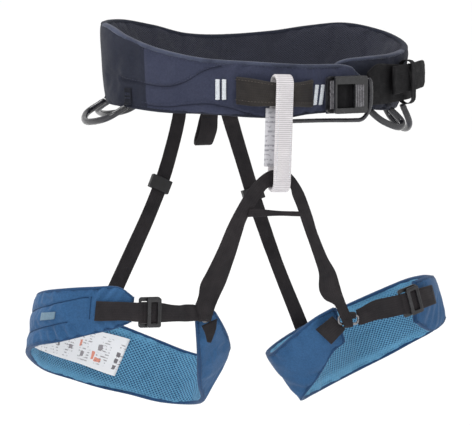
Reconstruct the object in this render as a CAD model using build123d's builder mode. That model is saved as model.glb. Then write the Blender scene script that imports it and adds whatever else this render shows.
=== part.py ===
from build123d import *
import os
from math import sin, cos, radians

# Climbing harness, size M, in millimetres.
# The wearer faces -Y, +Z is up, and "right" and "left" are the wearer's.
# The origin is inside the waist ring, at the height of the front webbing.

# ---------------------------------------------------------------- driving dimensions
BELT_HALF_WIDTH = 146      # waist ellipse, side to side
BELT_HALF_DEPTH = 93       # waist ellipse, front to back
BELT_CENTRE_X = 13         # the ring leans to the buckle side
BELT_FOAM = 6.0
LEG_FOAM = 4.6
CLOTH = 0.9                # outer cloth and mesh lining
PLY_GAP = 0.1              # glue line between two plies
BINDING = 2.2              # height of the edge binding
WEB = 1.8                  # thickness of the load webbing
WAIST_WEB = 2.2
RISER_WEB = 1.5
TIE_IN_THICK = 3.0
BELAY_THICK = 2.8
BELAY_WIDTH = 16.8
BELAY_DEPTH = 17.1         # outside, front strand to rear strand
BELAY_TOP = 15.0
BELAY_BOTTOM = -89.5
BELAY_X = -6.8
BELAY_FRONT_Y = -110.9
GEAR_TUBE_R = 3.1
RING_WIRE_R = 1.2
RING_LONG = 19.2
RING_SHORT = 10.2
LEG_BUCKLE_W = 20.0
LEG_BUCKLE_H = 27.0
LEG_BUCKLE_T = 2.4

os.makedirs("parts", exist_ok=True)


# ---------------------------------------------------------------- helpers
def save(piece, name):
    piece.part.label = name
    export_step(piece.part, f"parts/{name}.step")


def between(rows, at):
    """Values of a table at one place, eased smoothly from row to row."""
    last = len(rows) - 2
    i = 0
    while i < last and at > rows[i + 1][0]:
        i += 1
    a, b = rows[i], rows[i + 1]
    before = rows[max(i - 1, 0)]
    after = rows[min(i + 2, len(rows) - 1)]
    span = b[0] - a[0]
    t = min(max((at - a[0]) / span, 0.0), 1.0)
    values = []
    for k in range(1, len(a)):
        slope_a = (b[k] - before[k]) / (b[0] - before[0]) if i > 0 else 0.0
        slope_b = (after[k] - a[k]) / (after[0] - a[0]) if i < last else 0.0
        values.append(
            a[k] * (2 * t**3 - 3 * t**2 + 1)
            + b[k] * (3 * t**2 - 2 * t**3)
            + span * slope_a * (t**3 - 2 * t**2 + t)
            + span * slope_b * (t**3 - t**2)
        )
    return values


def smooth(rows, steps):
    """More rows on a smooth curve through the given rows."""
    rows = [[float(v) for v in row] for row in rows]
    fine = []
    for i in range(len(rows) - 1):
        p1, p2 = rows[i], rows[i + 1]
        p0 = rows[i - 1] if i > 0 else [2 * a - b for a, b in zip(p1, p2)]
        p3 = rows[i + 2] if i + 2 < len(rows) else [2 * b - a for a, b in zip(p1, p2)]
        for k in range(steps):
            t = k / steps
            fine.append([
                0.5 * (2 * b + (c - a) * t + (2 * a - 5 * b + 4 * c - d) * t**2
                       + (3 * b - a - 3 * c + d) * t**3)
                for a, b, c, d in zip(p0, p1, p2, p3)
            ])
    fine.append(rows[-1])
    return fine


def band(rows, thick, steps=3, lift=0.0, side=1, low=0.0, high=0.0):
    """A flat band. Each row is a point on its first edge and one on its second edge.

    lift moves it along its outward face, side=-1 turns that face over, and low and high
    take a strip off the second and the first edge (negative values leave only a strip).
    """
    fine = smooth(rows, steps) if steps > 1 else rows
    first = [Vector(*row[:3]) for row in fine]
    second = [Vector(*row[3:6]) for row in fine]
    middle = [(a + b) * 0.5 for a, b in zip(first, second)]
    with BuildPart() as piece:
        for i in range(len(fine)):
            across = first[i] - second[i]
            width = across.length
            up = across.normalized()
            ahead = middle[min(i + 1, len(fine) - 1)] - middle[max(i - 1, 0)]
            out = ahead.cross(up).normalized() * side
            top = width / 2 - high if high >= 0 else width / 2
            bottom = -width / 2 + low if low >= 0 else -width / 2
            if high < 0:
                bottom = width / 2 + high
            if low < 0:
                top = -width / 2 - low
            centre = middle[i] + up * ((top + bottom) / 2) + out * lift
            with BuildSketch(Plane(origin=centre, x_dir=out, z_dir=out.cross(up))):
                Rectangle(thick, top - bottom)
        loft(ruled=True)
    return piece


def plies(rows, prefix, foam, side, names, steps=3):
    """The three plies and two edge bindings of a padded band, each its own piece."""
    outer = foam / 2 + PLY_GAP + CLOTH / 2
    edge = BINDING + PLY_GAP
    trims = dict(steps=steps, side=side, low=edge, high=edge)
    save(band(rows, CLOTH, lift=outer, **trims), f"{prefix}_{names[0]}")
    save(band(rows, foam, lift=0, **trims), f"{prefix}_{names[1]}")
    save(band(rows, CLOTH, lift=-outer, **trims), f"{prefix}_{names[2]}")
    whole = foam + 2 * (PLY_GAP + CLOTH)
    save(band(rows, whole, steps=steps, side=side, high=-BINDING), f"{prefix}_binding_top")
    save(band(rows, whole, steps=steps, side=side, low=-BINDING), f"{prefix}_binding_bottom")


def tube(points, radius, bend):
    """A round tube along straight runs joined by arcs."""
    with BuildPart() as piece:
        with BuildLine() as path:
            FilletPolyline(*points, radius=bend)
        with BuildSketch(Plane(origin=path.line @ 0, z_dir=path.line % 0)):
            Circle(radius)
        sweep(transition=Transition.ROUND)
    return piece


# ---------------------------------------------------------------- waist belt
# turn round the ring from the front (0) towards the wearer's left (+): top, bottom, outward shift
BELT_ROWS = [
    (-345, 14, -12, -14.5),
    (-337, 24, -17, -14.5),
    (-325, 27, -19, -11),
    (-308, 29, -22, -6),
    (-288, 34, -21, -1),
    (-270, 41, -18, 0),
    (-254, 48, -16, 0),
    (-232, 55, -16, 0),
    (-215, 52, -19, 0),
    (-200, 47, -22, 0),
    (-180, 44, -24, 0),
    (-165, 46, -23, 0),
    (-150, 54, -20, 0),
    (-130, 60, -16, 0),
    (-105, 59, -14, 0),
    (-85, 56, -14.5, 0),
    (-70, 47, -16, 0),
    (-52, 36, -19, -1),
    (-35, 28.5, -20, -3),
    (-15, 25, -23.5, -4),
    (-3, 23, -24, -4),
    (5, 22, -21.5, -4),
    (18, 21.5, -20, -4),
    (24, 19, -19, -4),
    (28, 12, -14, -4),
]


def belt_point(turn, z, off, draw=0.0):
    angle = radians(turn)
    x = BELT_CENTRE_X + (BELT_HALF_WIDTH + off - draw) * sin(angle)
    y = -(BELT_HALF_DEPTH + off - draw) * cos(angle)
    return x, y, z


def hip_draw(turn):
    """How far the lower edge draws in on the hips, a little more on the buckle side."""
    side = sin(radians(turn))
    return (8.0 + 2.5 * side) * side**2


def belt_row(turn):
    top, bottom, off = between(BELT_ROWS, turn)
    return [*belt_point(turn, top, off), *belt_point(turn, bottom, off, hip_draw(turn))]


BELT_FACE = BELT_FOAM / 2 + CLOTH + PLY_GAP     # from the belt's middle to its outer face
belt_rows = [belt_row(turn) for turn in range(-345, -9, 6)]
belt_rows += [belt_row(turn) for turn in (-5, 0, 6, 12, 18, 22, 25, 28)]
plies(belt_rows, "belt", BELT_FOAM, 1, ("shell", "foam", "liner"), steps=1)

# flat tie-in strip: sewn to the belt at both ends, standing off it in the middle
tie_in_rows = [
    (-43.5, -89.2, 13, -43.5, -89.2, -11.5),
    (-39, -92.8, 12.5, -39, -92.8, -12),
    (-32, -98.6, 11.5, -32, -98.6, -13),
    (-20, -104.8, 9, -20, -104.8, -13),
    (-7, -105.6, 7.5, -7, -105.6, -13.5),
    (7, -104.4, 7.5, 7, -104.4, -14),
    (20, -98.2, 8.5, 20, -98.2, -15),
    (27, -94.6, 9.5, 27, -94.6, -15.5),
]
save(band(tie_in_rows, TIE_IN_THICK), "tie_in_strip")

# bar tacks: two upright stripes on the belt's face beyond each end of the tie-in strip
TACKS = ((-29.2, 1.5), (-26.8, 1.5), (7.2, -4.5), (9.6, -4.5))     # turn and height of each
TACK_SIZE = (4.4, 18, 0.8)     # wide, high, thick
with BuildPart() as front_bartacks:
    for tack_turn, tack_z in TACKS:
        tack_shift = between(BELT_ROWS, tack_turn)[2] + BELT_FACE + TACK_SIZE[2] / 2 + 0.1
        ahead = Vector(*belt_point(tack_turn + 1, tack_z, tack_shift))
        behind = Vector(*belt_point(tack_turn - 1, tack_z, tack_shift))
        face = (ahead - behind).cross(Vector(0, 0, 1)).normalized()
        tack_plane = Plane(
            origin=belt_point(tack_turn, tack_z, tack_shift),
            x_dir=face,
            z_dir=face.cross(Vector(0, 0, 1)),
        )
        with BuildSketch(tack_plane):
            Rectangle(TACK_SIZE[2], TACK_SIZE[1])
        extrude(amount=TACK_SIZE[0] / 2, both=True)
save(front_bartacks, "front_bartacks")

# waist webbing: buckle to the left hip, standing off the tongue where it leaves the buckle
waist_strap_rows = [
    (84.5, -88.4, 15, 84.5, -88.4, -15),
    (96, -83, 21.5, 96, -83, -15.5),
    (113, -71.5, 21, 113, -71.5, -15),
    (130, -60, 20, 130, -60, -14),
    (145, -49, 18.5, 145, -49, -13),
    (159, -34, 18, 157, -33, -12),
    (166, -17, 18, 163, -16, -11),
    (168.5, 0, 18, 164.5, 0, -10),
]
save(band(waist_strap_rows, WAIST_WEB), "waist_strap")

# free end of the waist webbing, folded back on itself and standing off the hip
waist_tail_rows = [
    (116, -76, 19, 116, -76, -7),
    (133, -65, 20, 133, -65, -6),
    (148, -54.5, 21.5, 148, -54.5, -4.5),
    (158, -45.5, 22.5, 158, -45.5, -3.5),
    (166.5, -37, 23, 166.5, -37, -2.5),
]
save(band(waist_tail_rows, 3.0), "waist_strap_tail")

# elastic keeper round the webbing and its tail
with BuildPart() as strap_keeper:
    keeper_out = Vector(0.62, -0.78, 0).normalized()
    keeper_plane = Plane(
        origin=(139.8, -56.6, 3.5),
        x_dir=keeper_out,
        z_dir=keeper_out.cross(Vector(0, 0, 1)),
    )
    with BuildSketch(keeper_plane):
        Rectangle(14.4, 41)
        Rectangle(12.8, 39.4, mode=Mode.SUBTRACT)
    extrude(amount=4.5, both=True)
save(strap_keeper, "strap_keeper")

# ---------------------------------------------------------------- waist buckle
# seen from the front, x runs along the belt and y is up
buckle_turn = radians(11.7)
buckle_plane = Plane(
    origin=(64.5, -91.6, -5),
    x_dir=(cos(buckle_turn), sin(buckle_turn), 0),
    z_dir=(sin(buckle_turn), -cos(buckle_turn), 0),
)
BUCKLE_CENTRE = (-4.25, 0.5)
BUCKLE_BAR_HIGH = 27
with BuildPart() as buckle_backing:
    with BuildSketch(buckle_plane.offset(-4.0)):
        with Locations((-3.5, 0)):
            RectangleRounded(40, 34, 5)
    extrude(amount=3.4)
save(buckle_backing, "buckle_backing")

# frame: an upright bar on the left, one in the middle, and the webbing's slots beside it
with BuildPart() as waist_buckle_frame:
    with BuildSketch(buckle_plane):
        with Locations(BUCKLE_CENTRE):
            RectangleRounded(42.3, 33, 4)
        with Locations((-9.6, 0.5)):
            Rectangle(14.8, BUCKLE_BAR_HIGH, mode=Mode.SUBTRACT)
        with Locations((8.6, 0.5)):
            Rectangle(9, BUCKLE_BAR_HIGH, mode=Mode.SUBTRACT)
    extrude(amount=3.0)
    with BuildSketch(buckle_plane.offset(3.0)):
        with Locations((-21.3, 0.5)):
            Rectangle(6.4, BUCKLE_BAR_HIGH)
        with Locations((0.9, 0.5)):
            Rectangle(5.6, BUCKLE_BAR_HIGH)
    extrude(amount=1.4)
save(waist_buckle_frame, "waist_buckle_frame")

# sliding bar of the buckle: tilts out at its left edge to slacken the webbing
with BuildPart() as waist_buckle_slider:
    with BuildSketch(buckle_plane.offset(8.2)):
        with Locations((-4.7, 0.5)):
            RectangleRounded(36, 33.5, 2.5)
        with Locations((-10.9, -0.6)):
            Rectangle(19.4, 21.5, mode=Mode.SUBTRACT)
    extrude(amount=2.6)
save(waist_buckle_slider, "waist_buckle_slider")

# webbing folded over the buckle's bars
wrap_rows = [
    (-15.6, 4.6),
    (-7, 5.6),
    (2, 5.9),
    (9, 5.7),
    (14, 4.9),
    (16.5, 4.2),
]
with BuildPart() as buckle_webbing:
    for wrap_x, wrap_h in wrap_rows:
        wrap_centre = buckle_plane.from_local_coords(Vector(wrap_x, 0.5, wrap_h))
        wrap_plane = Plane(origin=wrap_centre, x_dir=buckle_plane.z_dir, z_dir=-buckle_plane.x_dir)
        with BuildSketch(wrap_plane):
            Rectangle(1.8, 25)
    loft(ruled=True)
save(buckle_webbing, "buckle_webbing")

# bound edge of the buckle's backing: hangs below the front panel and runs up outside the webbing
EDGE_TUBE_R = 1.9
edge_route = [
    (4, -92.5, -27.5),
    (39, -93, -27.5),
    (77, -93.2, -28),
    (84.6, -92.8, -18),
    (85.0, -92.6, 9.5),
]
save(tube(edge_route, EDGE_TUBE_R, 6), "buckle_edge_tube")

# ---------------------------------------------------------------- gear loops
# each: turns of its two ends round the belt's lower edge, how far its middle hangs out,
# how far along and how far down
GEAR_LOOPS = {
    "gear_loop_front_right": (-70, -114, 28, 0, 16),
    "gear_loop_rear_right": (-121, -146, 24, 8, 12),
    "gear_loop_front_left": (-326, -309, 17, 4, 18),
    "gear_loop_rear_left": (-283, -254, 12, -4, 27),
}
TAB_THICK = 1.4

def gear_end(turn):
    """Where a tube's end meets the belt: just outside its face, at its lower edge."""
    top, bottom, off = between(BELT_ROWS, turn)
    return Vector(*belt_point(turn, bottom + 1, off + BELT_FACE + GEAR_TUBE_R + 0.5, hip_draw(turn)))


for name, (first_turn, last_turn, outward, along, down) in GEAR_LOOPS.items():
    a, b = gear_end(first_turn), gear_end(last_turn)
    chord = (b - a).normalized()
    away = Vector((a + b).X / 2 - BELT_CENTRE_X, (a + b).Y / 2, 0).normalized()
    sag = away * outward + Vector(0, 0, -down) + chord * along
    shoulder = sag * 0.70
    inset = (b - a) * 0.06
    route = [a, a + shoulder + inset, (a + b) * 0.5 + sag, b + shoulder - inset, b]
    save(tube(route, GEAR_TUBE_R, 8), name)

# cloth tabs that hold the gear loops' ends to the belt's outer face
TAB_TURNS = [turn for loop in GEAR_LOOPS.values() for turn in loop[:2]]
with BuildPart() as gear_loop_tabs:
    for tab_turn in TAB_TURNS:
        top, bottom, off = between(BELT_ROWS, tab_turn)
        reach = off + BELT_FACE + TAB_THICK / 2 + 0.7
        low_z = bottom + 5
        part_up = (low_z - bottom) / (top - bottom)
        low_draw = hip_draw(tab_turn) * (1 - part_up)
        high_draw = hip_draw(tab_turn) * 0.6
        lower_point = Vector(*belt_point(tab_turn, low_z, reach, low_draw))
        upper_point = Vector(*belt_point(tab_turn, low_z + 12, reach + 0.8, high_draw))
        up = (upper_point - lower_point).normalized()
        along = Vector(cos(radians(tab_turn)), sin(radians(tab_turn)) * 0.7, 0).normalized()
        out = along.cross(up).normalized()
        tab_middle = (upper_point + lower_point) * 0.5
        with BuildSketch(Plane(origin=tab_middle, x_dir=out, z_dir=out.cross(up))):
            Rectangle(TAB_THICK, 12)
        extrude(amount=4, both=True)
save(gear_loop_tabs, "gear_loop_tabs")

# haul loop on the middle of the back: webbing folded up on itself, its eye opening sideways
haul_rows = [
    (-6.1, 91.7, -30, 10.7, 91.7, -30),
    (-7.6, 90.4, -36, 9.6, 90.4, -36),
    (-9.4, 88.6, -46, 8.4, 88.6, -46),
    (-11.8, 88.8, -54, 6.0, 88.8, -54),
    (-13.2, 90.4, -59, 4.6, 90.4, -59),
    (-13.6, 93, -60.7, 4.2, 93, -60.7),
    (-13.2, 95.6, -59, 4.6, 95.6, -59),
    (-11.8, 97.2, -54, 6.0, 97.2, -54),
    (-9.4, 97.4, -46, 8.4, 97.4, -46),
    (-7.6, 95.6, -36, 9.6, 95.6, -36),
    (-6.1, 94.3, -30, 10.7, 94.3, -30),
]
save(band(haul_rows, 2.2), "haul_loop")

# tabs under the belt's back edge that carry the two risers and the haul loop
with BuildPart() as back_tabs:
    for tab_x, tab_width, tab_y in ((-30, 15, 87.6), (-3, 24, 92.6), (21, 15, 92.4)):
        with BuildSketch(Plane.XY.offset(-27.3)):
            with Locations((tab_x, tab_y)):
                Rectangle(tab_width, 3.0)
        extrude(amount=2.6)
save(back_tabs, "back_tabs")

# ---------------------------------------------------------------- belay loop
belay_plane = Plane(
    origin=(BELAY_X, BELAY_FRONT_Y + BELAY_DEPTH / 2, (BELAY_TOP + BELAY_BOTTOM) / 2),
    x_dir=(0, 1, 0),
    z_dir=(1, 0, -0.032),
)
belay_height = BELAY_TOP - BELAY_BOTTOM
with BuildPart() as belay_loop:
    with BuildSketch(belay_plane):
        SlotOverall(belay_height, BELAY_DEPTH, rotation=90)
        SlotOverall(
            belay_height - 2 * BELAY_THICK,
            BELAY_DEPTH - 2 * BELAY_THICK,
            rotation=90,
            mode=Mode.SUBTRACT,
        )
    extrude(amount=BELAY_WIDTH / 2, both=True)
save(belay_loop, "belay_loop")

# label folded round the rear strand's right edge
with BuildPart() as belay_label:
    with BuildSketch(belay_plane):
        with Locations((BELAY_DEPTH / 2 - BELAY_THICK / 2, -6)):
            Rectangle(BELAY_THICK + 1.0, 46)
            Rectangle(BELAY_THICK + 0.2, 46, mode=Mode.SUBTRACT)
    extrude(amount=BELAY_WIDTH / 2 - 0.4, both=True)
save(belay_label, "belay_label")

# ---------------------------------------------------------------- leg bridge
# inverted U of webbing: right ring, over the belay loop's lower end, left ring
bridge_rows = [
    (-75.2, -84.8, -201.6, -65.8, -84.8, -203.0),
    (-78.2, -84.8, -197.7, -65.2, -84.8, -200.6),
    (-80.2, -84.8, -192.7, -63.6, -84.8, -196.0),
    (-80.6, -84.8, -187.9, -61.7, -84.8, -190.4),
    (-78.0, -84.5, -181.0, -57.5, -84.5, -182.0),
    (-76.0, -84.2, -170.5, -52.0, -84.2, -171.5),
    (-70.5, -86, -159.5, -48.5, -86, -160.5),
    (-62.5, -91, -140, -44.5, -91, -143),
    (-56.5, -95, -123, -40.5, -95, -125.5),
    (-51.5, -98, -110.5, -38.5, -98, -115.5),
    (-47, -101, -100.5, -35, -101, -106.5),
    (-39, -102.6, -87.5, -27, -102.6, -95),
    (-28, -102.8, -76, -20.8, -102.8, -86.2),
    (-17, -102.8, -70, -14.5, -102.8, -84.6),
    (-4.5, -102.8, -70, -6.5, -102.8, -84.6),
    (4.8, -102.8, -74.9, 1.9, -102.8, -85.6),
    (14.4, -102.6, -88.5, 4.6, -102.6, -93.5),
    (21, -101, -102, 10, -101, -104.5),
    (26.5, -98, -113.5, 15, -98, -115.5),
    (32, -95, -127, 21, -95, -128.5),
    (43.5, -91, -150, 31, -91, -151),
    (54, -87, -165, 37.5, -87, -166),
    (59.5, -85, -178.5, 38.5, -85, -178),
    (61.8, -84.8, -185.8, 40.0, -84.8, -184.7),
    (64.4, -84.6, -192.4, 45.1, -84.6, -191.4),
    (66.8, -84.6, -198.1, 53.6, -84.6, -196.0),
    (69.4, -84.8, -204.1, 57.8, -84.8, -203.5),
    (72.2, -84.8, -210.3, 61.4, -84.8, -211.2),
    (72.9, -84.8, -215.2, 63.9, -84.8, -215.6),
]
save(band(bridge_rows, WEB, steps=2), "bridge_strap")

# short cross strap that keeps the two arms together under the belay loop
cross_rows = [
    (-36.5, -102.6, -103, -38.5, -101.8, -110.5),
    (-25, -102.8, -104, -25, -102.8, -110.5),
    (-9, -102.8, -106, -9, -102.8, -110.5),
    (6, -102.8, -107, 6, -102.8, -111.5),
    (14, -102.6, -107.5, 14, -102.2, -112),
]
save(band(cross_rows, 1.4, lift=0.9), "bridge_crosspiece")


def ring(name, centre, along):
    """Rectangular wire ring, facing the front."""
    along = Vector(*along).normalized()
    plane = Plane(origin=centre, x_dir=along, z_dir=(0, -1, 0))
    with BuildPart() as wire:
        with BuildSketch(plane.offset(-RING_WIRE_R)):
            RectangleRounded(RING_LONG + 2 * RING_WIRE_R, RING_SHORT, 4)
            RectangleRounded(
                RING_LONG - RING_WIRE_R,
                RING_SHORT - 4 * RING_WIRE_R,
                2,
                mode=Mode.SUBTRACT,
            )
        extrude(amount=2 * RING_WIRE_R)
        fillet(wire.edges().group_by(Axis.Y)[0], 0.7)
        fillet(wire.edges().group_by(Axis.Y)[-1], 0.7)
    save(wire, name)


RING_RIGHT = (-72.5, -82, -195.5)
RING_LEFT = (70.1, -81, -211.2)
ring("ring_right", RING_RIGHT, (7.5, 0, -17))
ring("ring_left", RING_LEFT, (1, 0, -0.04))

# ---------------------------------------------------------------- leg loops
# each row: top edge, then bottom edge, from the end by the ring round the thigh to the buckle end
RIGHT_LEG_ROWS = [
    (-58, -73, -198, -76, -73, -206),
    (-48, -65, -211, -70, -63, -240),
    (-35, -46, -227, -62, -44, -268),
    (-26, -24, -242, -50, -21, -287),
    (-26, 12, -254, -49.5, 10, -296.5),
    (-40, 38, -253, -72, 34, -297),
    (-66, 54, -242, -96, 50, -291),
    (-98, 60, -228, -123, 57, -284),
    (-131, 56, -214, -153, 54, -273),
    (-165, 38, -201, -182, 38, -261),
    (-192, 10, -190, -204, 12, -245),
    (-205, -18, -182, -215, -16, -232),
    (-207, -46, -175, -215, -44, -223),
    (-197, -70, -170.5, -202, -68, -217),
    (-177, -84, -168.5, -181, -83, -210),
    (-156, -91, -168.5, -161, -91, -205),
    (-143, -92, -177, -146, -92, -200),
]
LEFT_LEG_ROWS = [
    (62, -66, -202, 72, -66, -235),
    (44, -62, -212, 64, -60, -244),
    (27, -48, -230, 58, -44, -267),
    (17.5, -26, -247.5, 50, -22, -293),
    (28, 8, -250, 74, 6, -295),
    (60, 36, -242, 107, 32, -291),
    (99, 54, -231, 143, 50, -283),
    (136, 60, -219, 176, 56, -272),
    (164, 50, -206, 198, 48, -259),
    (180, 28, -194, 210, 30, -247),
    (185, 2, -187, 209, 6, -236),
    (182, -22, -184, 199, -20, -226),
    (173, -44, -181, 184, -42, -228),
    (158, -62, -179, 164, -59, -230),
    (140, -73, -181, 143, -71, -219),
]
plies(RIGHT_LEG_ROWS, "leg_right", LEG_FOAM, 1, ("shell", "foam", "mesh"))
plies(LEFT_LEG_ROWS, "leg_left", LEG_FOAM, -1, ("shell", "foam", "mesh"))

# webbing from the slot in each inner end up to its ring
right_tab_rows = [
    (-65.5, -83.5, -224, -69, -82, -223.5),
    (-61.3, -84, -212.5, -71.5, -83, -215),
    (-60.6, -83, -203.9, -74.3, -82.4, -209.9),
]
save(band(right_tab_rows, WEB), "leg_right_ring_tab")
left_tab_rows = [
    (42, -70.5, -220, 58, -70.5, -235),
    (48, -75, -214.6, 62, -75, -229),
    (54, -78.4, -211, 65.5, -78.4, -222.5),
]
save(band(left_tab_rows, WEB, side=-1), "leg_left_ring_tab")

# front straps: anchored on the buckle end, through the buckle, to the ring
right_anchor_rows = [
    (-176, -91.5, -179.5, -178, -91.5, -197),
    (-166, -95.5, -180, -168, -95.5, -197),
    (-155, -98, -180.5, -156, -98, -197),
    (-141, -98.5, -181.5, -141, -98.5, -198.5),
]
save(band(right_anchor_rows, WEB), "leg_right_anchor_strap")
right_strap_rows = [
    (-118, -98.5, -183.5, -118, -98.5, -200.5),
    (-109, -97, -185.5, -109, -97, -200.8),
    (-100, -94, -187, -100, -94, -201.5),
    (-92, -88, -187.5, -91, -88, -203),
    (-83.2, -82.4, -190.6, -76.6, -82.4, -205.6),
]
save(band(right_strap_rows, WEB), "leg_right_front_strap")
left_strap_rows = [
    (82.8, -81.4, -200.6, 84.8, -81.4, -216.6),
    (88, -83, -197.2, 91, -83, -214.4),
    (95, -84.5, -194, 98, -84.5, -212.5),
    (107, -85, -192, 111, -85, -211),
    (117, -85, -190.5, 122.3, -85, -209),
]
save(band(left_strap_rows, WEB), "leg_left_front_strap")
left_anchor_rows = [
    (139, -82, -186, 144, -82, -205),
    (148, -80, -185, 153, -80, -203.5),
    (158, -73.5, -184.5, 163, -73.5, -202.5),
]
save(band(left_anchor_rows, WEB), "leg_left_anchor_strap")


# ---------------------------------------------------------------- leg buckles
def leg_buckle(name, plane):
    """Two metal plates: a slotted frame on the anchor, and a sliding plate that tilts on it."""
    with BuildPart() as frame:
        with BuildSketch(plane.offset(-1.2)):
            RectangleRounded(LEG_BUCKLE_W, LEG_BUCKLE_H, 2.5)
            with Locations((-5.2, 0), (4.8, 0)):
                Rectangle(6.0, LEG_BUCKLE_H - 7, mode=Mode.SUBTRACT)
        extrude(amount=LEG_BUCKLE_T)
    save(frame, f"{name}_frame")
    with BuildPart() as slider:
        with BuildSketch(plane.offset(3.2)):
            with Locations((3.0, 0)):
                RectangleRounded(13.0, LEG_BUCKLE_H - 1, 2)
                Rectangle(6.4, LEG_BUCKLE_H - 8, mode=Mode.SUBTRACT)
        extrude(amount=2.0)
    save(slider, f"{name}_slider")
    with BuildPart() as wrap:
        with BuildSketch(plane.offset(1.5)):
            with Locations((-0.5, 0)):
                Rectangle(17.0, 19.0)
        extrude(amount=1.4)
    save(wrap, f"{name}_webbing")


right_buckle_plane = Plane(origin=(-129.5, -98.6, -191), x_dir=(1, 0, -0.03), z_dir=(0, -1, 0))
left_buckle_plane = Plane(origin=(130.5, -84.6, -196.5), x_dir=(1, 0.06, 0.30), z_dir=(0.06, -1, 0))
leg_buckle("leg_right_buckle", right_buckle_plane)
leg_buckle("leg_left_buckle", left_buckle_plane)

# printed care label sewn inside the right leg loop's lining, and the plain tag on its pad
# row of the leg loop, then the label's top and bottom place across it
LABEL_ROWS = [
    (6.5, 0.70, -0.55),
    (8.0, 0.56, -0.50),
    (9.2, 0.44, -0.52),
    (10.3, 0.18, -0.68),
    (11.5, -0.12, -0.88),
]
LABEL_OFF = LEG_FOAM / 2 + PLY_GAP + CLOTH + 0.4
leg_fine = smooth(RIGHT_LEG_ROWS, 3)
leg_middle = [Vector(*row[:3]) * 0.5 + Vector(*row[3:6]) * 0.5 for row in leg_fine]
label_rows = []
for i in range(20, 35):
    half = (Vector(*leg_fine[i][:3]) - Vector(*leg_fine[i][3:6])) * 0.5
    inward = half.cross(leg_middle[i + 1] - leg_middle[i - 1]).normalized()
    base = leg_middle[i] + inward * LABEL_OFF
    top_share, bottom_share = between(LABEL_ROWS, i / 3)
    label_rows.append([*(base + half * top_share), *(base + half * bottom_share)])
save(band(label_rows, 0.5, steps=1), "care_label")
tag_rows = [
    (-213.2, -52.3, -193, -214.4, -52, -200),
    (-205.8, -68, -190.5, -206.8, -68, -197),
]
save(band(tag_rows, 0.8, steps=1), "leg_right_tag")

# ---------------------------------------------------------------- risers
right_riser_rows = [
    (-36, 92, -29, -22.5, 92, -29),
    (-37.5, 91, -36, -23.5, 91, -36),
    (-45.5, 86, -59, -31, 86, -59),
    (-57, 81, -88.5, -43, 81, -92),
    (-72, 76.5, -119.5, -58, 76.5, -124),
    (-90.5, 72, -153, -76, 72, -158.5),
    (-109, 69, -187.5, -94.5, 69, -193.5),
    (-125.5, 67.5, -219, -111, 67.5, -225),
]
save(band(right_riser_rows, RISER_WEB, steps=2), "riser_right_strap")
left_riser_rows = [
    (12.5, 92, -29, 29.5, 92, -29),
    (14.5, 90, -38, 31, 90, -38),
    (25.5, 82, -80, 41.5, 82, -82),
    (37, 74, -124, 53, 74, -126),
    (53.5, 65, -176, 68.5, 65, -178),
    (76, 57.5, -238, 91, 57.5, -236),
    (80.5, 57, -252, 95.5, 57, -250),
]
save(band(left_riser_rows, RISER_WEB, steps=2), "riser_left_strap")


def adjuster(name, centre, down):
    """Ladder buckle round a riser: a hollow sleeve."""
    down = Vector(*down).normalized()
    with BuildPart() as body:
        with BuildSketch(Plane(origin=centre, x_dir=(0, 1, 0), z_dir=down)):
            Rectangle(5.6, 20.8)
            Rectangle(2.8, 18.0, mode=Mode.SUBTRACT)
        extrude(amount=6.5, both=True)
    save(body, name)


adjuster("riser_right_adjuster", (-53.5, 80.2, -96.5), (-15, -4.8, -32))
adjuster("riser_left_adjuster", (40.8, 76.8, -109.2), (11.5, -7.9, -44))
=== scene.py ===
from math import cos, exp, pi, radians, sin, tau

import bmesh
import bpy
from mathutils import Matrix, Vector, noise
from mathutils.bvhtree import BVHTree


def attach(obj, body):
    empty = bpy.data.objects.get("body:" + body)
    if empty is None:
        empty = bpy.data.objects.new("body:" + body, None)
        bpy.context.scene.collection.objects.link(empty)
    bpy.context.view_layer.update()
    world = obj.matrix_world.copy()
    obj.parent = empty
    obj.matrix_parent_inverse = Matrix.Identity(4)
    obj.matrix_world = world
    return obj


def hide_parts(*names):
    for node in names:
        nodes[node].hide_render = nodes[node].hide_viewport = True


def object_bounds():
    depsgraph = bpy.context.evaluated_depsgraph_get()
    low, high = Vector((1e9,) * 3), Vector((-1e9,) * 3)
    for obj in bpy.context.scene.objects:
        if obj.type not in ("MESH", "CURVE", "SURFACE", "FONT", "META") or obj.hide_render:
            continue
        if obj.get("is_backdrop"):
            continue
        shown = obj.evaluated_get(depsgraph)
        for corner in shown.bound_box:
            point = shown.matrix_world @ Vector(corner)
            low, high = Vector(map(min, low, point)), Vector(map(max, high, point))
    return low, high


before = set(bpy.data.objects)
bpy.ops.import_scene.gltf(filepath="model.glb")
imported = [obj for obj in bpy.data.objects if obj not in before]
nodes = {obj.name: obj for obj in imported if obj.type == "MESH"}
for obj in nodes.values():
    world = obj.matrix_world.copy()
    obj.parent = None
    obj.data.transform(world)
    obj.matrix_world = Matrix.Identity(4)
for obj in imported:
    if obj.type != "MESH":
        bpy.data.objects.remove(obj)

# Climbing harness. The tables are in millimetres, in the part's own frame; meshes are in metres.
MM = 0.001
FORWARD, UP = Vector((0, -1, 0)), Vector((0, 0, 1))
cad_low, cad_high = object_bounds()
scene = bpy.context.scene


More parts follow.
